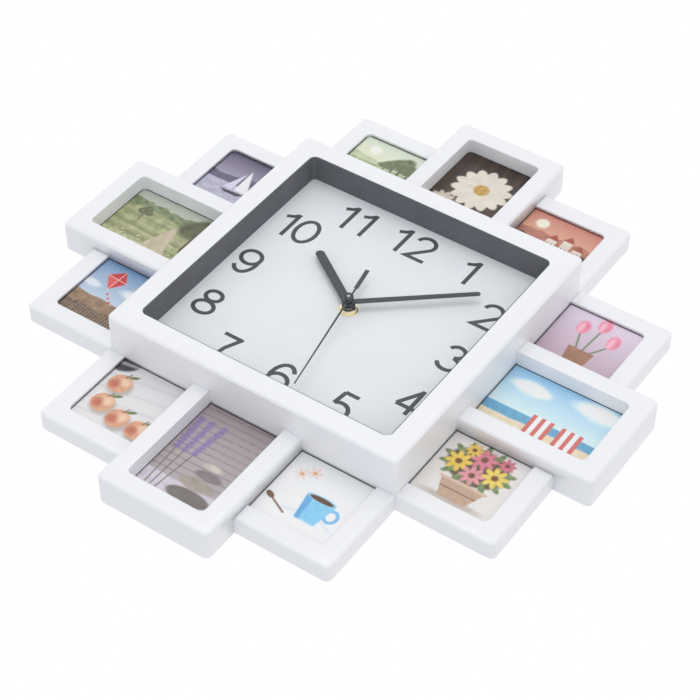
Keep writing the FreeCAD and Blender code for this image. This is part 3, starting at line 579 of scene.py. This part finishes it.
def cut_slot(screw, across, up, rear, wide, tall):
    """Cuts one slot of a screwdriver recess into a head."""
    bm = bmesh.new()
    corners = [bm.verts.new(point(across + right * wide / 2, up + top * tall / 2, rear + depth))
               for depth in (-RECESS_OVERRUN, RECESS_DEPTH)
               for right, top in ((-1, -1), (1, -1), (1, 1), (-1, 1))]
    for face in ((0, 1, 2, 3), (7, 6, 5, 4), (0, 4, 5, 1), (1, 5, 6, 2), (2, 6, 7, 3), (3, 7, 4, 0)):
        bm.faces.new([corners[index] for index in face])
    bmesh.ops.recalc_face_normals(bm, faces=bm.faces)
    cutter = bpy.data.objects.new("slot", plain_mesh(bm, "slot"))
    bpy.context.scene.collection.objects.link(cutter)
    cut = screw.modifiers.new("recess", "BOOLEAN")
    cut.object = cutter
    cut.operation = "DIFFERENCE"
    cut.solver = "EXACT"
    bpy.context.view_layer.update()
    graph = bpy.context.evaluated_depsgraph_get()
    result = bpy.data.meshes.new_from_object(screw.evaluated_get(graph))
    screw.modifiers.clear()
    screw.data = result
    bpy.data.objects.remove(cutter)


def battery():
    """Cell with rolled edges, a plain jacket, a gold band at its positive end and a bare button."""
    low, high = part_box("battery")
    middle = (low + high) / 2
    radius = (high.y - low.y) / 2
    length = (high.x - low.x) / MM
    body = length - CELL_BUTTON
    band_start = body * BAND_START_SHARE
    parts = (("cell_jacket", [(CONTACT_SHARE, 0.0), (REAR_FACE_SHARE, 0.0), (ROLL_SHARE, CELL_ROLL_MIDDLE),
                              (1.0, CELL_ROLL), (1.0, band_start)]),
             ("cell_band", [(1.0, band_start), (1.0, body - CELL_ROLL), (ROLL_SHARE, body - CELL_ROLL_MIDDLE),
                            (FRONT_FACE_SHARE, body)]),
             ("steel", [(FRONT_FACE_SHARE, body), (BUTTON_SHARE, body), (BUTTON_SHARE, length - BUTTON_BEVEL),
                        (BUTTON_TOP_SHARE, length), (0.0, length)]),
             ("steel", [(0.0, 0.0), (CONTACT_SHARE, 0.0)]))
    bm = bmesh.new()
    for number, (_, profile) in enumerate(parts):
        rings = [[bm.verts.new((low.x + place * MM, middle.y + radius * share * math.cos(turn),
                                middle.z + radius * share * math.sin(turn)))
                  for turn in round_turns(ROUND_SIDES)] for share, place in profile]
        for band in join_rings(bm, rings):
            for face in band:
                face.material_index = number
    bmesh.ops.remove_doubles(bm, verts=bm.verts, dist=CELL_SAME_PLACE * MM)
    piece = add_piece("cell", mesh_from(bm, "cell"), parts[0][0], "clock_body", ["battery"])
    for slot, _ in parts[1:]:
        piece.data.materials.append(materials[slot])


# Numerals, drawn as strokes in shares of the digit height, from the middle of the foot
def arc(centre, radii, start, end, steps=ARC_STEPS):
    """Points on an arc, its angles in degrees against the clock from three o'clock."""
    points = []
    for index in range(steps + 1):
        turn = math.radians(start + (end - start) * index / steps)
        points.append((centre[0] + radii[0] * math.cos(turn), centre[1] + radii[1] * math.sin(turn)))
    return points


def digit_strokes(digit):
    edge = DIGIT_STROKE / DIGIT_HEIGHT / 2
    top = 1 - edge
    bowl = arc((0, 0.32), (0.285, 0.32 - edge), 90, 450, RING_STEPS)
    back = arc((0.005, 0.5), (0.29, top - 0.5), 200, 36, BACK_STEPS)
    shapes = {
        "0": [arc((0, 0.5), (0.292, top - 0.5), 90, 450, ZERO_STEPS)],
        "1": [[(0.06, 0.015), (0.06, 0.98)], [(-0.245, 0.745), (-0.06, 0.83), (0.045, 0.935)]],
        "2": [arc((0, 0.70), (0.265, top - 0.70), 172, -34) + [(-0.265, edge), (0.30, edge)]],
        "3": [arc((-0.01, 0.745), (0.225, top - 0.745), 165, -84),
              arc((0, 0.29), (0.285, 0.29 - edge), 84, -165)],
        "4": [[(0.12, 0.02), (0.12, 0.97)], [(0.12, 0.92), (-0.27, 0.28)], [(-0.29, 0.27), (0.30, 0.27)]],
        "5": [[(0.245, top), (-0.16, top)], [(-0.145, top), (-0.205, 0.49)],
              arc((0, 0.32), (0.28, 0.32 - edge), 134, -162)],
        "6": [bowl, back],
        "7": [[(-0.28, top), (0.27, top)], [(0.262, top + edge * 0.7), (0.03, 0.5), (-0.075, 0.015)]],
        "8": [arc((0, 0.75), (0.23, top - 0.75), 90, 450, RING_STEPS),
              arc((0, 0.285), (0.285, 0.285 - edge), 90, 450, RING_STEPS)],
        "9": [[(-x, 1 - y) for x, y in path] for path in (bowl, back)],
    }
    return shapes[digit]


def stroke(bm, points, width, out):
    """Flat square-ended ribbon along points given as across and up, from the dial to a distance out."""
    closed = (Vector(points[0]) - Vector(points[-1])).length < JOIN_REACH
    if closed:
        points = points[:-1]
    count = len(points)
    foot = DIAL_OUT + INK_FOOT
    rows = []
    for index, here in enumerate(points):
        before = points[index - 1] if closed or index else here
        after = points[(index + 1) % count] if closed or index < count - 1 else here
        first = (Vector(here) - Vector(before)).normalized()
        second = (Vector(after) - Vector(here)).normalized()
        if not first.length:
            first = second
        if not second.length:
            second = first
        along = (first + second).normalized()
        normal = Vector((-along.y, along.x))
        reach = width / 2 / max(MITRE_LIMIT, abs(normal.dot(Vector((-first.y, first.x)))))
        left = Vector(here) + normal * reach
        right = Vector(here) - normal * reach
        rows.append([bm.verts.new(point(place.x, place.y, height))
                     for place, height in ((left, out), (right, out), (right, foot), (left, foot))])
    join_rings(bm, rows + rows[:1] if closed else rows)
    if not closed:
        bm.faces.new(rows[0])
        bm.faces.new(rows[-1])


def numerals():
    """Hour numerals printed on the dial, upright, with the strokes of a digit one above the other."""
    for text, (across, up) in NUMERALS.items():
        bm = bmesh.new()
        gap = DIGIT_GAPS.get(text, 0.0)
        places = [-gap / 2, gap / 2] if gap else [0.0]
        for digit, offset in zip(text, places):
            for layer, path in enumerate(digit_strokes(digit)):
                scaled = [(across + offset + x * DIGIT_HEIGHT, up + (y - 0.5) * DIGIT_HEIGHT)
                          for x, y in path]
                stroke(bm, scaled, DIGIT_STROKE, DIAL_OUT + INK_RISE * (1 + layer))
        add_piece("numeral_" + text, mesh_from(bm, "numeral_" + text), "ink", "clock_body")


# Pictures, painted on a fine mesh by formula
class Painting:
    """Colours on a grid; x runs right and y up, both in shares of the picture's shorter side."""

    def __init__(self, name, seed):
        low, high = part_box("print_" + name)
        self.name = name
        self.low = low
        self.high = high
        width = (high.x - low.x) / MM
        height = (high.z - low.z) / MM
        self.columns = int(width / PAINT_STEP) + 1
        self.rows = int(height / PAINT_STEP) + 1
        short = min(width, height)
        self.width = width / short
        self.height = height / short
        across = np.linspace(0, self.width, self.columns)
        up = np.linspace(0, self.height, self.rows)
        self.x, self.y = np.meshgrid(across, up)
        self.random = np.random.default_rng(seed)
        self.colour = np.ones((self.rows, self.columns, 3))

    def grain(self, scale):
        """Smooth random pattern between about -1 and 1, its waves a share of the side long."""
        total = np.zeros_like(self.x)
        for octave in range(GRAIN_OCTAVES):
            for _ in range(GRAIN_WAVES):
                angle, phase = self.random.uniform(0, 2 * math.pi, 2)
                wave = 2 * math.pi / (scale / 2 ** octave)
                run = self.x * math.cos(angle) + self.y * math.sin(angle)
                total += np.sin(wave * run + phase) / 2 ** octave
        return total / GRAIN_WAVES

    def lay(self, mask, colour, shade=0.0, scale=0.2):
        """Lays a colour where the mask is 1, its tone varied by some grain."""
        tone = np.array(linear(*colour))
        tone = tone[None, None, :] * (1 + shade * self.grain(scale))[:, :, None]
        self.colour = self.colour * (1 - mask[:, :, None]) + tone * mask[:, :, None]

    def sweep(self, bottom, top, low=0.0, high=1.0):
        """Fills the picture with a run of tone from bottom to top."""
        share = np.clip((self.y / self.height - low) / (high - low), 0, 1)[:, :, None]
        self.colour = np.array(linear(*bottom)) * (1 - share) + np.array(linear(*top)) * share

    def below(self, line, soft=0.01):
        return np.clip((line - self.y) / soft + 0.5, 0, 1)

    def oval(self, x, y, wide, tall=None, soft=0.02, lean=0.0):
        """Soft-edged oval about a point."""
        tall = tall or wide
        dx = self.x - x
        dy = self.y - y
        along = dx * math.cos(lean) + dy * math.sin(lean)
        over = dy * math.cos(lean) - dx * math.sin(lean)
        reach = np.sqrt((along / wide) ** 2 + (over / tall) ** 2)
        return np.clip((1 - reach) * min(wide, tall) / soft + 0.5, 0, 1)

    def bar(self, start, end, wide, soft=0.008):
        """Straight stroke between two points."""
        sx, sy = start
        dx, dy = end[0] - sx, end[1] - sy
        length = dx * dx + dy * dy
        share = np.clip(((self.x - sx) * dx + (self.y - sy) * dy) / length, 0, 1)
        reach = np.hypot(self.x - sx - share * dx, self.y - sy - share * dy)
        return np.clip((wide / 2 - reach) / soft + 0.5, 0, 1)

    def area(self, corners, soft=0.01):
        """Convex area whose corners run with the clock."""
        mask = np.ones_like(self.x)
        for (sx, sy), (ex, ey) in zip(corners, corners[1:] + corners[:1]):
            length = math.hypot(ex - sx, ey - sy)
            away = ((self.x - sx) * (ey - sy) - (self.y - sy) * (ex - sx)) / length
            mask = np.minimum(mask, np.clip(away / soft + 0.5, 0, 1))
        return mask

    def cloud(self, x, y, size, colour):
        for dx, dy, share in ((-0.7, -0.05, 0.55), (0, 0.12, 0.8), (0.75, -0.02, 0.6), (0.2, -0.12, 0.9)):
            wide = size * share
            self.lay(self.oval(x + dx * size, y + dy * size, wide, wide * 0.5, size * 0.5), colour)

    def tree(self, x, foot, size, trunk, crown):
        self.lay(self.bar((x, foot), (x, foot + size * 0.6), size * 0.08), trunk)
        for dx, dy, share in ((0, 0.8, 0.36), (-0.24, 0.66, 0.26), (0.24, 0.68, 0.27), (0.05, 1.02, 0.22)):
            wide = size * share
            leaves = self.oval(x + dx * size, foot + dy * size, wide, wide * 0.85, size * 0.12)
            self.lay(leaves, crown, 0.35, size * 0.3)

    def flower(self, x, y, size, petals, heart, count=9):
        for index in range(count):
            turn = 2 * math.pi * index / count + 0.3
            reach = size * 0.58
            petal = self.oval(x + math.cos(turn) * reach, y + math.sin(turn) * reach, size * 0.42, size * 0.2,
                              0.012, turn)
            self.lay(petal, petals, 0.1, size)
        self.lay(self.oval(x, y, size * 0.26, soft=0.015), heart, 0.25, size * 0.2)

    def finish(self):
        """Closed sheet with the painted front that stands for the CAD print."""
        speckle = 1 + PAINT_SPECKLE * self.random.standard_normal(self.x.shape)[:, :, None]
        # Painted light: some pictures' colours are brightened to stand in for more light in their windows
        light = PICTURE_PAINTED_LIGHT.get(self.name, 1.0)
        colour = np.clip(self.colour * speckle * light, PAINT_DARKEST, PAINT_LIGHTEST)
        # Painted shadow: a dark band round the edge of each print stands for the shade in the gap under the
        # frame's window wall
        gap_shadow_width = GAP_SHADOW_BORDER * MM / min(self.high.x - self.low.x, self.high.z - self.low.z)
        clear_of_gap_shadow = (np.abs(self.x - self.width / 2) < self.width / 2 - gap_shadow_width)
        clear_of_gap_shadow &= (np.abs(self.y - self.height / 2) < self.height / 2 - gap_shadow_width)
        colour[~clear_of_gap_shadow] = GAP_SHADOW_TONE
        xs = np.linspace(self.low.x, self.high.x, self.columns)
        zs = np.linspace(self.low.z, self.high.z, self.rows)
        vertices = [(x, self.low.y + PAPER_SETBACK * MM, z) for z in zs for x in xs]
        corners = [(self.low.x, self.low.z), (self.high.x, self.low.z), (self.high.x, self.high.z),
                   (self.low.x, self.high.z)]
        vertices += [(x, self.high.y, z) for x, z in corners]
        faces = []
        for row in range(self.rows - 1):
            for column in range(self.columns - 1):
                start = row * self.columns + column
                faces.append((start, start + 1, start + self.columns + 1, start + self.columns))
        back = self.rows * self.columns
        faces += self.edge_faces(back)
        mesh = bpy.data.meshes.new("picture_" + self.name)
        mesh.from_pydata(vertices, [], faces)
        paint = mesh.color_attributes.new("paint", "FLOAT_COLOR", "POINT")
        values = np.ones((len(vertices), 4))
        values[:back, :3] = colour.reshape(-1, 3)
        paint.data.foreach_set("color", values.ravel())
        add_piece("picture_" + self.name, mesh, "print", "clock_body",
                  ["print_" + self.name])

    def edge_faces(self, back):
        """The four thin edges of the sheet and its rear."""
        last_row = (self.rows - 1) * self.columns
        bottom = list(range(self.columns))
        right = [row * self.columns + self.columns - 1 for row in range(self.rows)]
        top = [last_row + column for column in range(self.columns)]
        left = [row * self.columns for row in range(self.rows)]
        return [tuple(bottom[::-1]) + (back, back + 1), tuple(right[::-1]) + (back + 1, back + 2),
                tuple(top) + (back + 2, back + 3), tuple(left) + (back + 3, back),
                (back, back + 3, back + 2, back + 1)]


def paint_left_upper():
    """Sailing boat on a lake at dusk."""
    art = Painting("left_upper", 1)
    art.sweep((196, 190, 208), (92, 84, 108), 0.3, 0.95)
    art.lay(art.below(0.62 + 0.06 * art.grain(0.9)), (104, 96, 122), 0.2)
    art.lay(art.below(0.46), (186, 184, 204), 0.16, 0.12)
    art.lay(art.area([(0.64, 0.36), (0.56, 0.30), (0.38, 0.30), (0.30, 0.34)]), (70, 60, 74))
    art.lay(art.area([(0.47, 0.38), (0.47, 0.78), (0.66, 0.38)]), (240, 238, 246))
    art.lay(art.area([(0.44, 0.38), (0.32, 0.38), (0.44, 0.70)]), (222, 216, 234))
    art.finish()


def paint_left():
    """Meadow with a path, a wood and a lone tree."""
    art = Painting("left", 2)
    art.sweep((204, 206, 192), (190, 196, 184), 0.6, 1.0)
    art.lay(art.below(0.84 + 0.05 * art.grain(0.35)), (132, 144, 108), 0.4, 0.1)
    art.lay(art.below(0.70 + 0.03 * art.grain(0.8)), (168, 172, 128), 0.3, 0.16)
    for index in range(9):
        level = 0.64 - 0.07 * index
        end = level - 0.05 + 0.04 * math.sin(index * 1.9)
        row = art.bar((0.0, level), (art.width, end), 0.012 + 0.004 * index, 0.03)
        art.lay(row, (134, 142, 100) if index % 2 else (192, 192, 152), 0.3, 0.1)
    art.lay(art.area([(0.50, 0.0), (0.76, 0.66), (0.79, 0.66), (0.92, 0.0)]), (204, 192, 168), 0.15)
    art.tree(1.02, 0.34, 0.50, (104, 82, 70), (98, 100, 72))
    art.tree(0.30, 0.52, 0.20, (104, 82, 70), (110, 116, 84))
    art.lay(np.clip(art.grain(0.05) * 3 - 1.1, 0, 1) * art.below(0.3), (232, 222, 188))
    art.finish()


def paint_left_lower():
    """Red kite over a dry field."""
    art = Painting("left_lower", 3)
    art.sweep((208, 222, 236), (112, 152, 196), 0.3, 1.0)
    art.cloud(0.72, 0.62, 0.16, (240, 244, 248))
    art.cloud(0.10, 0.56, 0.10, (232, 238, 245))
    art.lay(art.below(0.40 + 0.03 * art.grain(0.7)), (156, 128, 102), 0.3, 0.14)
    art.lay(art.below(0.22 + 0.03 * art.grain(0.4)), (112, 94, 80), 0.35, 0.1)
    for index in range(26):
        foot = 0.04 * index
        tip = 0.20 + 0.03 * math.sin(index * 2.7)
        art.lay(art.bar((foot, 0.02), (foot + 0.02, tip), 0.008), (176, 150, 116), 0.2)
    art.lay(art.area([(0.34, 0.56), (0.20, 0.76), (0.36, 0.90), (0.47, 0.74)]), (206, 54, 58), 0.1)
    art.lay(art.area([(0.34, 0.56), (0.20, 0.76), (0.34, 0.76)]), (232, 92, 88), 0.1)
    art.lay(art.bar((0.36, 0.90), (0.34, 0.56), 0.008), (240, 226, 214))
    art.lay(art.bar((0.20, 0.76), (0.47, 0.74), 0.008), (240, 226, 214))
    art.lay(art.bar((0.34, 0.56), (0.54, 0.36), 0.008), (232, 226, 216))
    for x, y in ((0.40, 0.50), (0.45, 0.45), (0.50, 0.40)):
        art.lay(art.area([(x - 0.02, y - 0.02), (x - 0.02, y + 0.02), (x + 0.02, y - 0.02)]), (206, 54, 58))
    art.finish()


def paint_top_left():
    """Pale morning over green hills."""
    art = Painting("top_left", 4)
    art.sweep((238, 234, 204), (214, 226, 208), 0.45, 1.0)
    art.lay(art.oval(0.26, 0.80, 0.07, soft=0.05), (255, 252, 236))
    art.lay(art.below(0.66 + 0.05 * art.grain(0.8)), (198, 208, 176), 0.12)
    art.lay(art.below(0.56 + 0.05 * art.grain(0.6)), (164, 180, 132), 0.2, 0.15)
    art.lay(art.below(0.40 + 0.04 * art.grain(0.4)), (132, 152, 98), 0.3, 0.1)
    for place, size in ((0.52, 0.20), (0.62, 0.28), (0.72, 0.34), (0.84, 0.24)):
        art.tree(place, 0.48, size, (92, 70, 62), (112, 124, 92))
    art.finish()


def paint_top():
    """Cream daisy against dark wood."""
    art = Painting("top", 5)
    art.sweep((74, 54, 42), (52, 38, 32))
    art.lay(np.clip(np.sin(art.x * 34 + art.grain(0.9)) * 0.5, 0, 1), (96, 70, 52), 0.3, 0.1)
    art.lay(art.bar((0.46, 0.0), (0.52, 0.72), 0.03), (96, 112, 70))
    art.lay(art.oval(0.66, 0.38, 0.18, 0.07, 0.02, 0.6), (104, 122, 78), 0.2)
    art.flower(0.52, 0.86, 0.36, (236, 226, 212), (206, 164, 84), 14)
    art.flower(0.22, 0.46, 0.17, (214, 198, 184), (184, 144, 78), 11)
    art.finish()


def paint_top_right():
    """Dark ridge under an orange-pink evening sky."""
    art = Painting("top_right", 6)
    art.sweep((246, 206, 170), (206, 128, 116), 0.3, 1.0)
    art.lay(art.oval(0.24, 0.80, 0.08, soft=0.03), (255, 244, 224))
    art.lay(art.below(0.66 + 0.09 * art.grain(0.5)), (190, 126, 108), 0.2)
    art.lay(art.below(0.52 + 0.07 * art.grain(0.4)), (96, 72, 72), 0.25)
    art.lay(art.below(0.34 + 0.05 * art.grain(0.3)), (60, 48, 54), 0.3, 0.08)
    for left, tall in ((0.42, 0.18), (0.60, 0.24), (0.76, 0.16)):
        eaves = 0.44 + tall
        art.lay(art.area([(left, 0.44), (left, eaves), (left + 0.12, eaves), (left + 0.12, 0.44)]),
                (236, 222, 208), 0.08)
        art.lay(art.area([(left - 0.02, eaves), (left + 0.06, eaves + 0.10), (left + 0.14, eaves)]),
                (172, 84, 66), 0.15)
        for step in (0.03, 0.08):
            art.lay(art.bar((left + step, 0.50), (left + step, 0.54), 0.02), (84, 66, 66))
    art.finish()


def paint_right_upper():
    """Pink tulips before a lilac wall."""
    art = Painting("right_upper", 7)
    art.sweep((170, 146, 160), (204, 190, 206), 0.0, 0.9)
    art.lay(art.below(0.16), (124, 92, 78), 0.2)
    for foot, top, height in ((0.46, 0.34, 0.66), (0.50, 0.54, 0.80), (0.54, 0.74, 0.62)):
        art.lay(art.bar((foot, 0.3), (top, height), 0.022), (104, 124, 88))
        art.lay(art.oval(top, height + 0.07, 0.075, 0.11, 0.02), (220, 128, 150), 0.15)
        art.lay(art.oval(top - 0.02, height + 0.05, 0.03, 0.09, 0.02), (238, 170, 184))
    art.lay(art.area([(0.38, 0.12), (0.34, 0.40), (0.66, 0.40), (0.62, 0.12)]), (148, 108, 88), 0.12)
    art.finish()


def paint_right():
    """Beach with two striped windbreaks under a light sky."""
    art = Painting("right", 8)
    art.sweep((214, 234, 244), (142, 192, 226), 0.35, 1.0)
    art.cloud(0.34, 0.76, 0.16, (246, 250, 252))
    art.cloud(1.10, 0.84, 0.2, (240, 247, 251))
    art.lay(art.below(0.40), (104, 164, 198), 0.12, 0.1)
    art.lay(art.below(0.28 + 0.02 * art.grain(0.9)), (226, 212, 184), 0.08, 0.1)
    for start in (0.56, 0.90):
        for index in range(5):
            left = start + index * 0.05
            right = left + 0.05
            shade = (236, 240, 242) if index % 2 else (206, 110, 104)
            art.lay(art.area([(left, 0.16), (left, 0.46), (right, 0.46), (right, 0.16)], 0.006), shade)
    art.finish()


def paint_right_lower():
    """Yellow and pink flowers in a brown bowl."""
    art = Painting("right_lower", 9)
    art.sweep((240, 236, 232), (236, 232, 230), 0.2, 1.0)
    art.lay(art.oval(0.5, 0.64, 0.36, 0.26, 0.03), (108, 92, 76), 0.5, 0.05)
    for index in range(14):
        turn = 0.3 + index * 0.45
        leaf = art.oval(0.5 + 0.34 * math.cos(turn), 0.64 + 0.25 * math.sin(turn), 0.09, 0.035, 0.012, turn)
        art.lay(leaf, (132, 150, 104), 0.25, 0.1)
    for x, y, size, petals in ((0.28, 0.62, 0.15, (240, 206, 92)), (0.50, 0.78, 0.15, (222, 134, 150)),
                               (0.72, 0.62, 0.15, (242, 214, 108)), (0.50, 0.52, 0.14, (232, 160, 168)),
                               (0.34, 0.84, 0.10, (240, 200, 96)), (0.74, 0.84, 0.10, (216, 124, 142))):
        art.flower(x, y, size, petals, (124, 84, 54), 8)
    art.lay(art.oval(0.5, 0.10, 0.34, 0.05, 0.03), (206, 196, 188))
    art.lay(art.area([(0.34, 0.10), (0.24, 0.36), (0.76, 0.36), (0.66, 0.10)]), (204, 172, 150), 0.1, 0.1)
    art.lay(art.bar((0.23, 0.36), (0.77, 0.36), 0.035), (222, 196, 176), 0.06)
    art.lay(art.bar((0.29, 0.24), (0.71, 0.24), 0.016), (150, 106, 84), 0.1)
    art.finish()


def paint_bottom_left():
    """Peaches on a white cloth."""
    art = Painting("bottom_left", 10)
    art.sweep((240, 238, 238), (232, 230, 232), 0.1, 1.0)
    art.lay(art.oval(0.02, 1.0, 0.24, 0.2, 0.03), (70, 70, 76), 0.3)
    for fold in range(5):
        level = 0.12 + 0.2 * fold
        art.lay(art.bar((0.0, level), (1.0, level + 0.16), 0.02, 0.05), (222, 219, 221))
    for x, y in ((0.22, 0.66), (0.24, 0.34), (0.52, 0.24), (0.80, 0.22)):
        art.lay(art.oval(x + 0.03, y - 0.04, 0.15, 0.14, 0.05), (198, 188, 186))
        art.lay(art.oval(x, y, 0.135, soft=0.012), (228, 172, 138), 0.14, 0.1)
        art.lay(art.oval(x + 0.04, y + 0.04, 0.06, soft=0.06), (248, 214, 184))
        art.lay(art.oval(x - 0.05, y - 0.03, 0.06, soft=0.06), (204, 118, 96))
        art.lay(art.bar((x, y + 0.10), (x + 0.03, y + 0.17), 0.014), (112, 88, 60))
        art.lay(art.oval(x + 0.08, y + 0.15, 0.06, 0.022, 0.01, 0.5), (120, 136, 84), 0.2, 0.05)
    art.finish()


def paint_bottom():
    """Lavender beside a pile of pebbles."""
    art = Painting("bottom", 11)
    art.sweep((196, 186, 190), (172, 160, 162), 0.0, 1.0)
    for index in range(12):
        level = 0.42 + 0.09 * index
        art.lay(art.bar((0.0, level), (1.0, level + 0.03), 0.012, 0.02), (150, 136, 138), 0.3, 0.1)
    art.lay(art.below(0.34 + 0.02 * art.grain(0.8)), (222, 214, 226), 0.08, 0.1)
    for x, y, wide, shade in ((0.62, 0.22, 0.26, (128, 120, 118)), (0.60, 0.40, 0.21, (176, 164, 154)),
                              (0.64, 0.55, 0.16, (140, 130, 132)), (0.60, 0.67, 0.11, (214, 204, 194))):
        art.lay(art.oval(x, y, wide, wide * 0.38, 0.02), shade, 0.12, 0.2)
    for foot, lean in ((0.14, -0.04), (0.2, 0.02), (0.26, 0.1)):
        art.lay(art.bar((foot, 0.1), (foot + lean, 1.0), 0.014), (120, 126, 100))
        for index in range(9):
            rise = 0.72 + index * 0.055
            middle = foot + lean * (rise - 0.1) / 0.9
            art.lay(art.oval(middle, rise, 0.042, 0.028, 0.015), (150, 132, 178), 0.25, 0.05)
    art.finish()


def paint_bottom_right():
    """Blue cup on a white table with a brown spoon."""
    art = Painting("bottom_right", 12)
    art.sweep((244, 245, 247), (232, 236, 241), 0.0, 1.0)
    art.lay(art.oval(0.60, 0.22, 0.32, 0.09, 0.04), (216, 222, 232))
    art.lay(art.oval(0.60, 0.20, 0.27, 0.07, 0.01), (250, 250, 252))
    art.lay(art.oval(0.60, 0.21, 0.20, 0.045, 0.01), (226, 230, 238))
    art.lay(art.oval(0.80, 0.40, 0.09, 0.10, 0.012), (124, 186, 226))
    art.lay(art.oval(0.80, 0.40, 0.05, 0.06, 0.012), (242, 243, 246))
    art.lay(art.area([(0.48, 0.20), (0.42, 0.54), (0.78, 0.54), (0.72, 0.20)]), (136, 200, 236), 0.08, 0.1)
    art.lay(art.area([(0.48, 0.20), (0.42, 0.54), (0.50, 0.54), (0.53, 0.20)]), (104, 168, 214), 0.08, 0.1)
    art.lay(art.oval(0.60, 0.54, 0.18, 0.045, 0.008), (170, 216, 240))
    art.lay(art.oval(0.60, 0.535, 0.15, 0.034, 0.008), (98, 70, 54))
    art.lay(art.bar((0.12, 0.30), (0.36, 0.18), 0.022), (120, 90, 70))
    art.lay(art.oval(0.11, 0.31, 0.06, 0.035, 0.01, -0.46), (120, 90, 70))
    for x, y in ((0.22, 0.72), (0.33, 0.80)):
        art.flower(x, y, 0.09, (246, 214, 206), (220, 170, 110), 6)
    art.finish()


def pictures():
    """One generic picture behind each window."""
    for paint in (paint_left_upper, paint_left, paint_left_lower, paint_top_left, paint_top, paint_top_right,
                  paint_right_upper, paint_right, paint_right_lower, paint_bottom_left, paint_bottom,
                  paint_bottom_right):
        paint()


# Stage, light and camera
def seen_rays(nodes, links):
    """Is 1 for rays that show the background: to the camera, and in metal and glass."""
    path = nodes.new("ShaderNodeLightPath")
    seen = path.outputs["Is Camera Ray"]
    for ray in ("Is Glossy Ray", "Is Transmission Ray"):
        either = nodes.new("ShaderNodeMath")
        either.operation = "MAXIMUM"
        links.new(seen, either.inputs[0])
        links.new(path.outputs[ray], either.inputs[1])
        seen = either.outputs["Value"]
    return seen


def pale_floor():
    """Pale floor that shows nearly white and keeps some of the object's shadow."""
    material = surface("pale_floor", (238, 239, 241), (236, 237, 239), 0.8, 3.0, 300.0, 0.1)
    nodes = material.node_tree.nodes
    links = material.node_tree.links
    white = nodes.new("ShaderNodeEmission")
    share = nodes.new("ShaderNodeMath")
    share.operation = "MULTIPLY"
    share.inputs[1].default_value = FLOOR_WHITE
    mix = nodes.new("ShaderNodeMixShader")
    links.new(seen_rays(nodes, links), share.inputs[0])
    links.new(share.outputs["Value"], mix.inputs["Fac"])
    links.new(nodes["Principled BSDF"].outputs["BSDF"], mix.inputs[1])
    links.new(white.outputs["Emission"], mix.inputs[2])
    links.new(mix.outputs["Shader"], nodes["Material Output"].inputs["Surface"])
    return material


def stage():
    """Wide pale floor below the clock."""
    bm = bmesh.new()
    half = FLOOR_SIZE / 2
    bm.faces.new([bm.verts.new((right * half, rear * half, -FLOOR_DROP))
                  for right, rear in ((-1, -1), (1, -1), (1, 1), (-1, 1))])
    floor = bpy.data.objects.new("floor", plain_mesh(bm, "floor"))
    bpy.context.scene.collection.objects.link(floor)
    floor.data.materials.append(pale_floor())


def world():
    """White to the camera and in reflections, a soft even light to everything else."""
    made = bpy.data.worlds.new("studio")
    bpy.context.scene.world = made
    made.use_nodes = True
    nodes = made.node_tree.nodes
    links = made.node_tree.links
    light = nodes["Background"]
    light.inputs["Color"].default_value = (*WORLD_TINT, 1)
    light.inputs["Strength"].default_value = WORLD_LIGHT
    seen = nodes.new("ShaderNodeBackground")
    seen.inputs["Color"].default_value = (1, 1, 1, 1)
    seen.inputs["Strength"].default_value = 1.0
    mix = nodes.new("ShaderNodeMixShader")
    links.new(seen_rays(nodes, links), mix.inputs["Fac"])
    links.new(light.outputs["Background"], mix.inputs[1])
    links.new(seen.outputs["Background"], mix.inputs[2])
    links.new(mix.outputs["Shader"], nodes["World Output"].inputs["Surface"])


def lights():
    """Square soft lamps aimed at the middle of the dial."""
    middle = Vector((0.0, 0.0, AXIS_Z))
    for name, (offset, size, power) in LAMPS.items():
        data = bpy.data.lights.new(name, "AREA")
        data.size = size
        data.energy = power
        holder = bpy.data.objects.new(name, data)
        bpy.context.scene.collection.objects.link(holder)
        holder.location = middle + Vector(offset)
        holder.rotation_euler = (-Vector(offset)).to_track_quat("-Z", "Y").to_euler()


def camera():
    """Camera at the photograph's place, angle and lens."""
    data = bpy.data.cameras.new("photo_camera")
    data.sensor_width = SENSOR_MM
    data.lens = FOCAL_PIXELS / IMAGE_PIXELS * SENSOR_MM
    data.clip_end = CAMERA_REACH
    holder = bpy.data.objects.new("photo_camera", data)
    bpy.context.scene.collection.objects.link(holder)
    right = Vector(CAMERA_RIGHT).normalized()
    back = right.cross(Vector(CAMERA_UP)).normalized()
    up = back.cross(right)
    turn = Matrix((right, up, back)).transposed().to_4x4()
    holder.matrix_world = Matrix.Translation(CAMERA_PLACE) @ turn
    bpy.context.scene.camera = holder


dress_cad_nodes()
moulding()
lining()
hands()
dial_screws()
battery()
nut()
bush_thread()
numerals()
pictures()
stage()
world()
lights()
camera()
bpy.context.scene.view_settings.view_transform = "Standard"
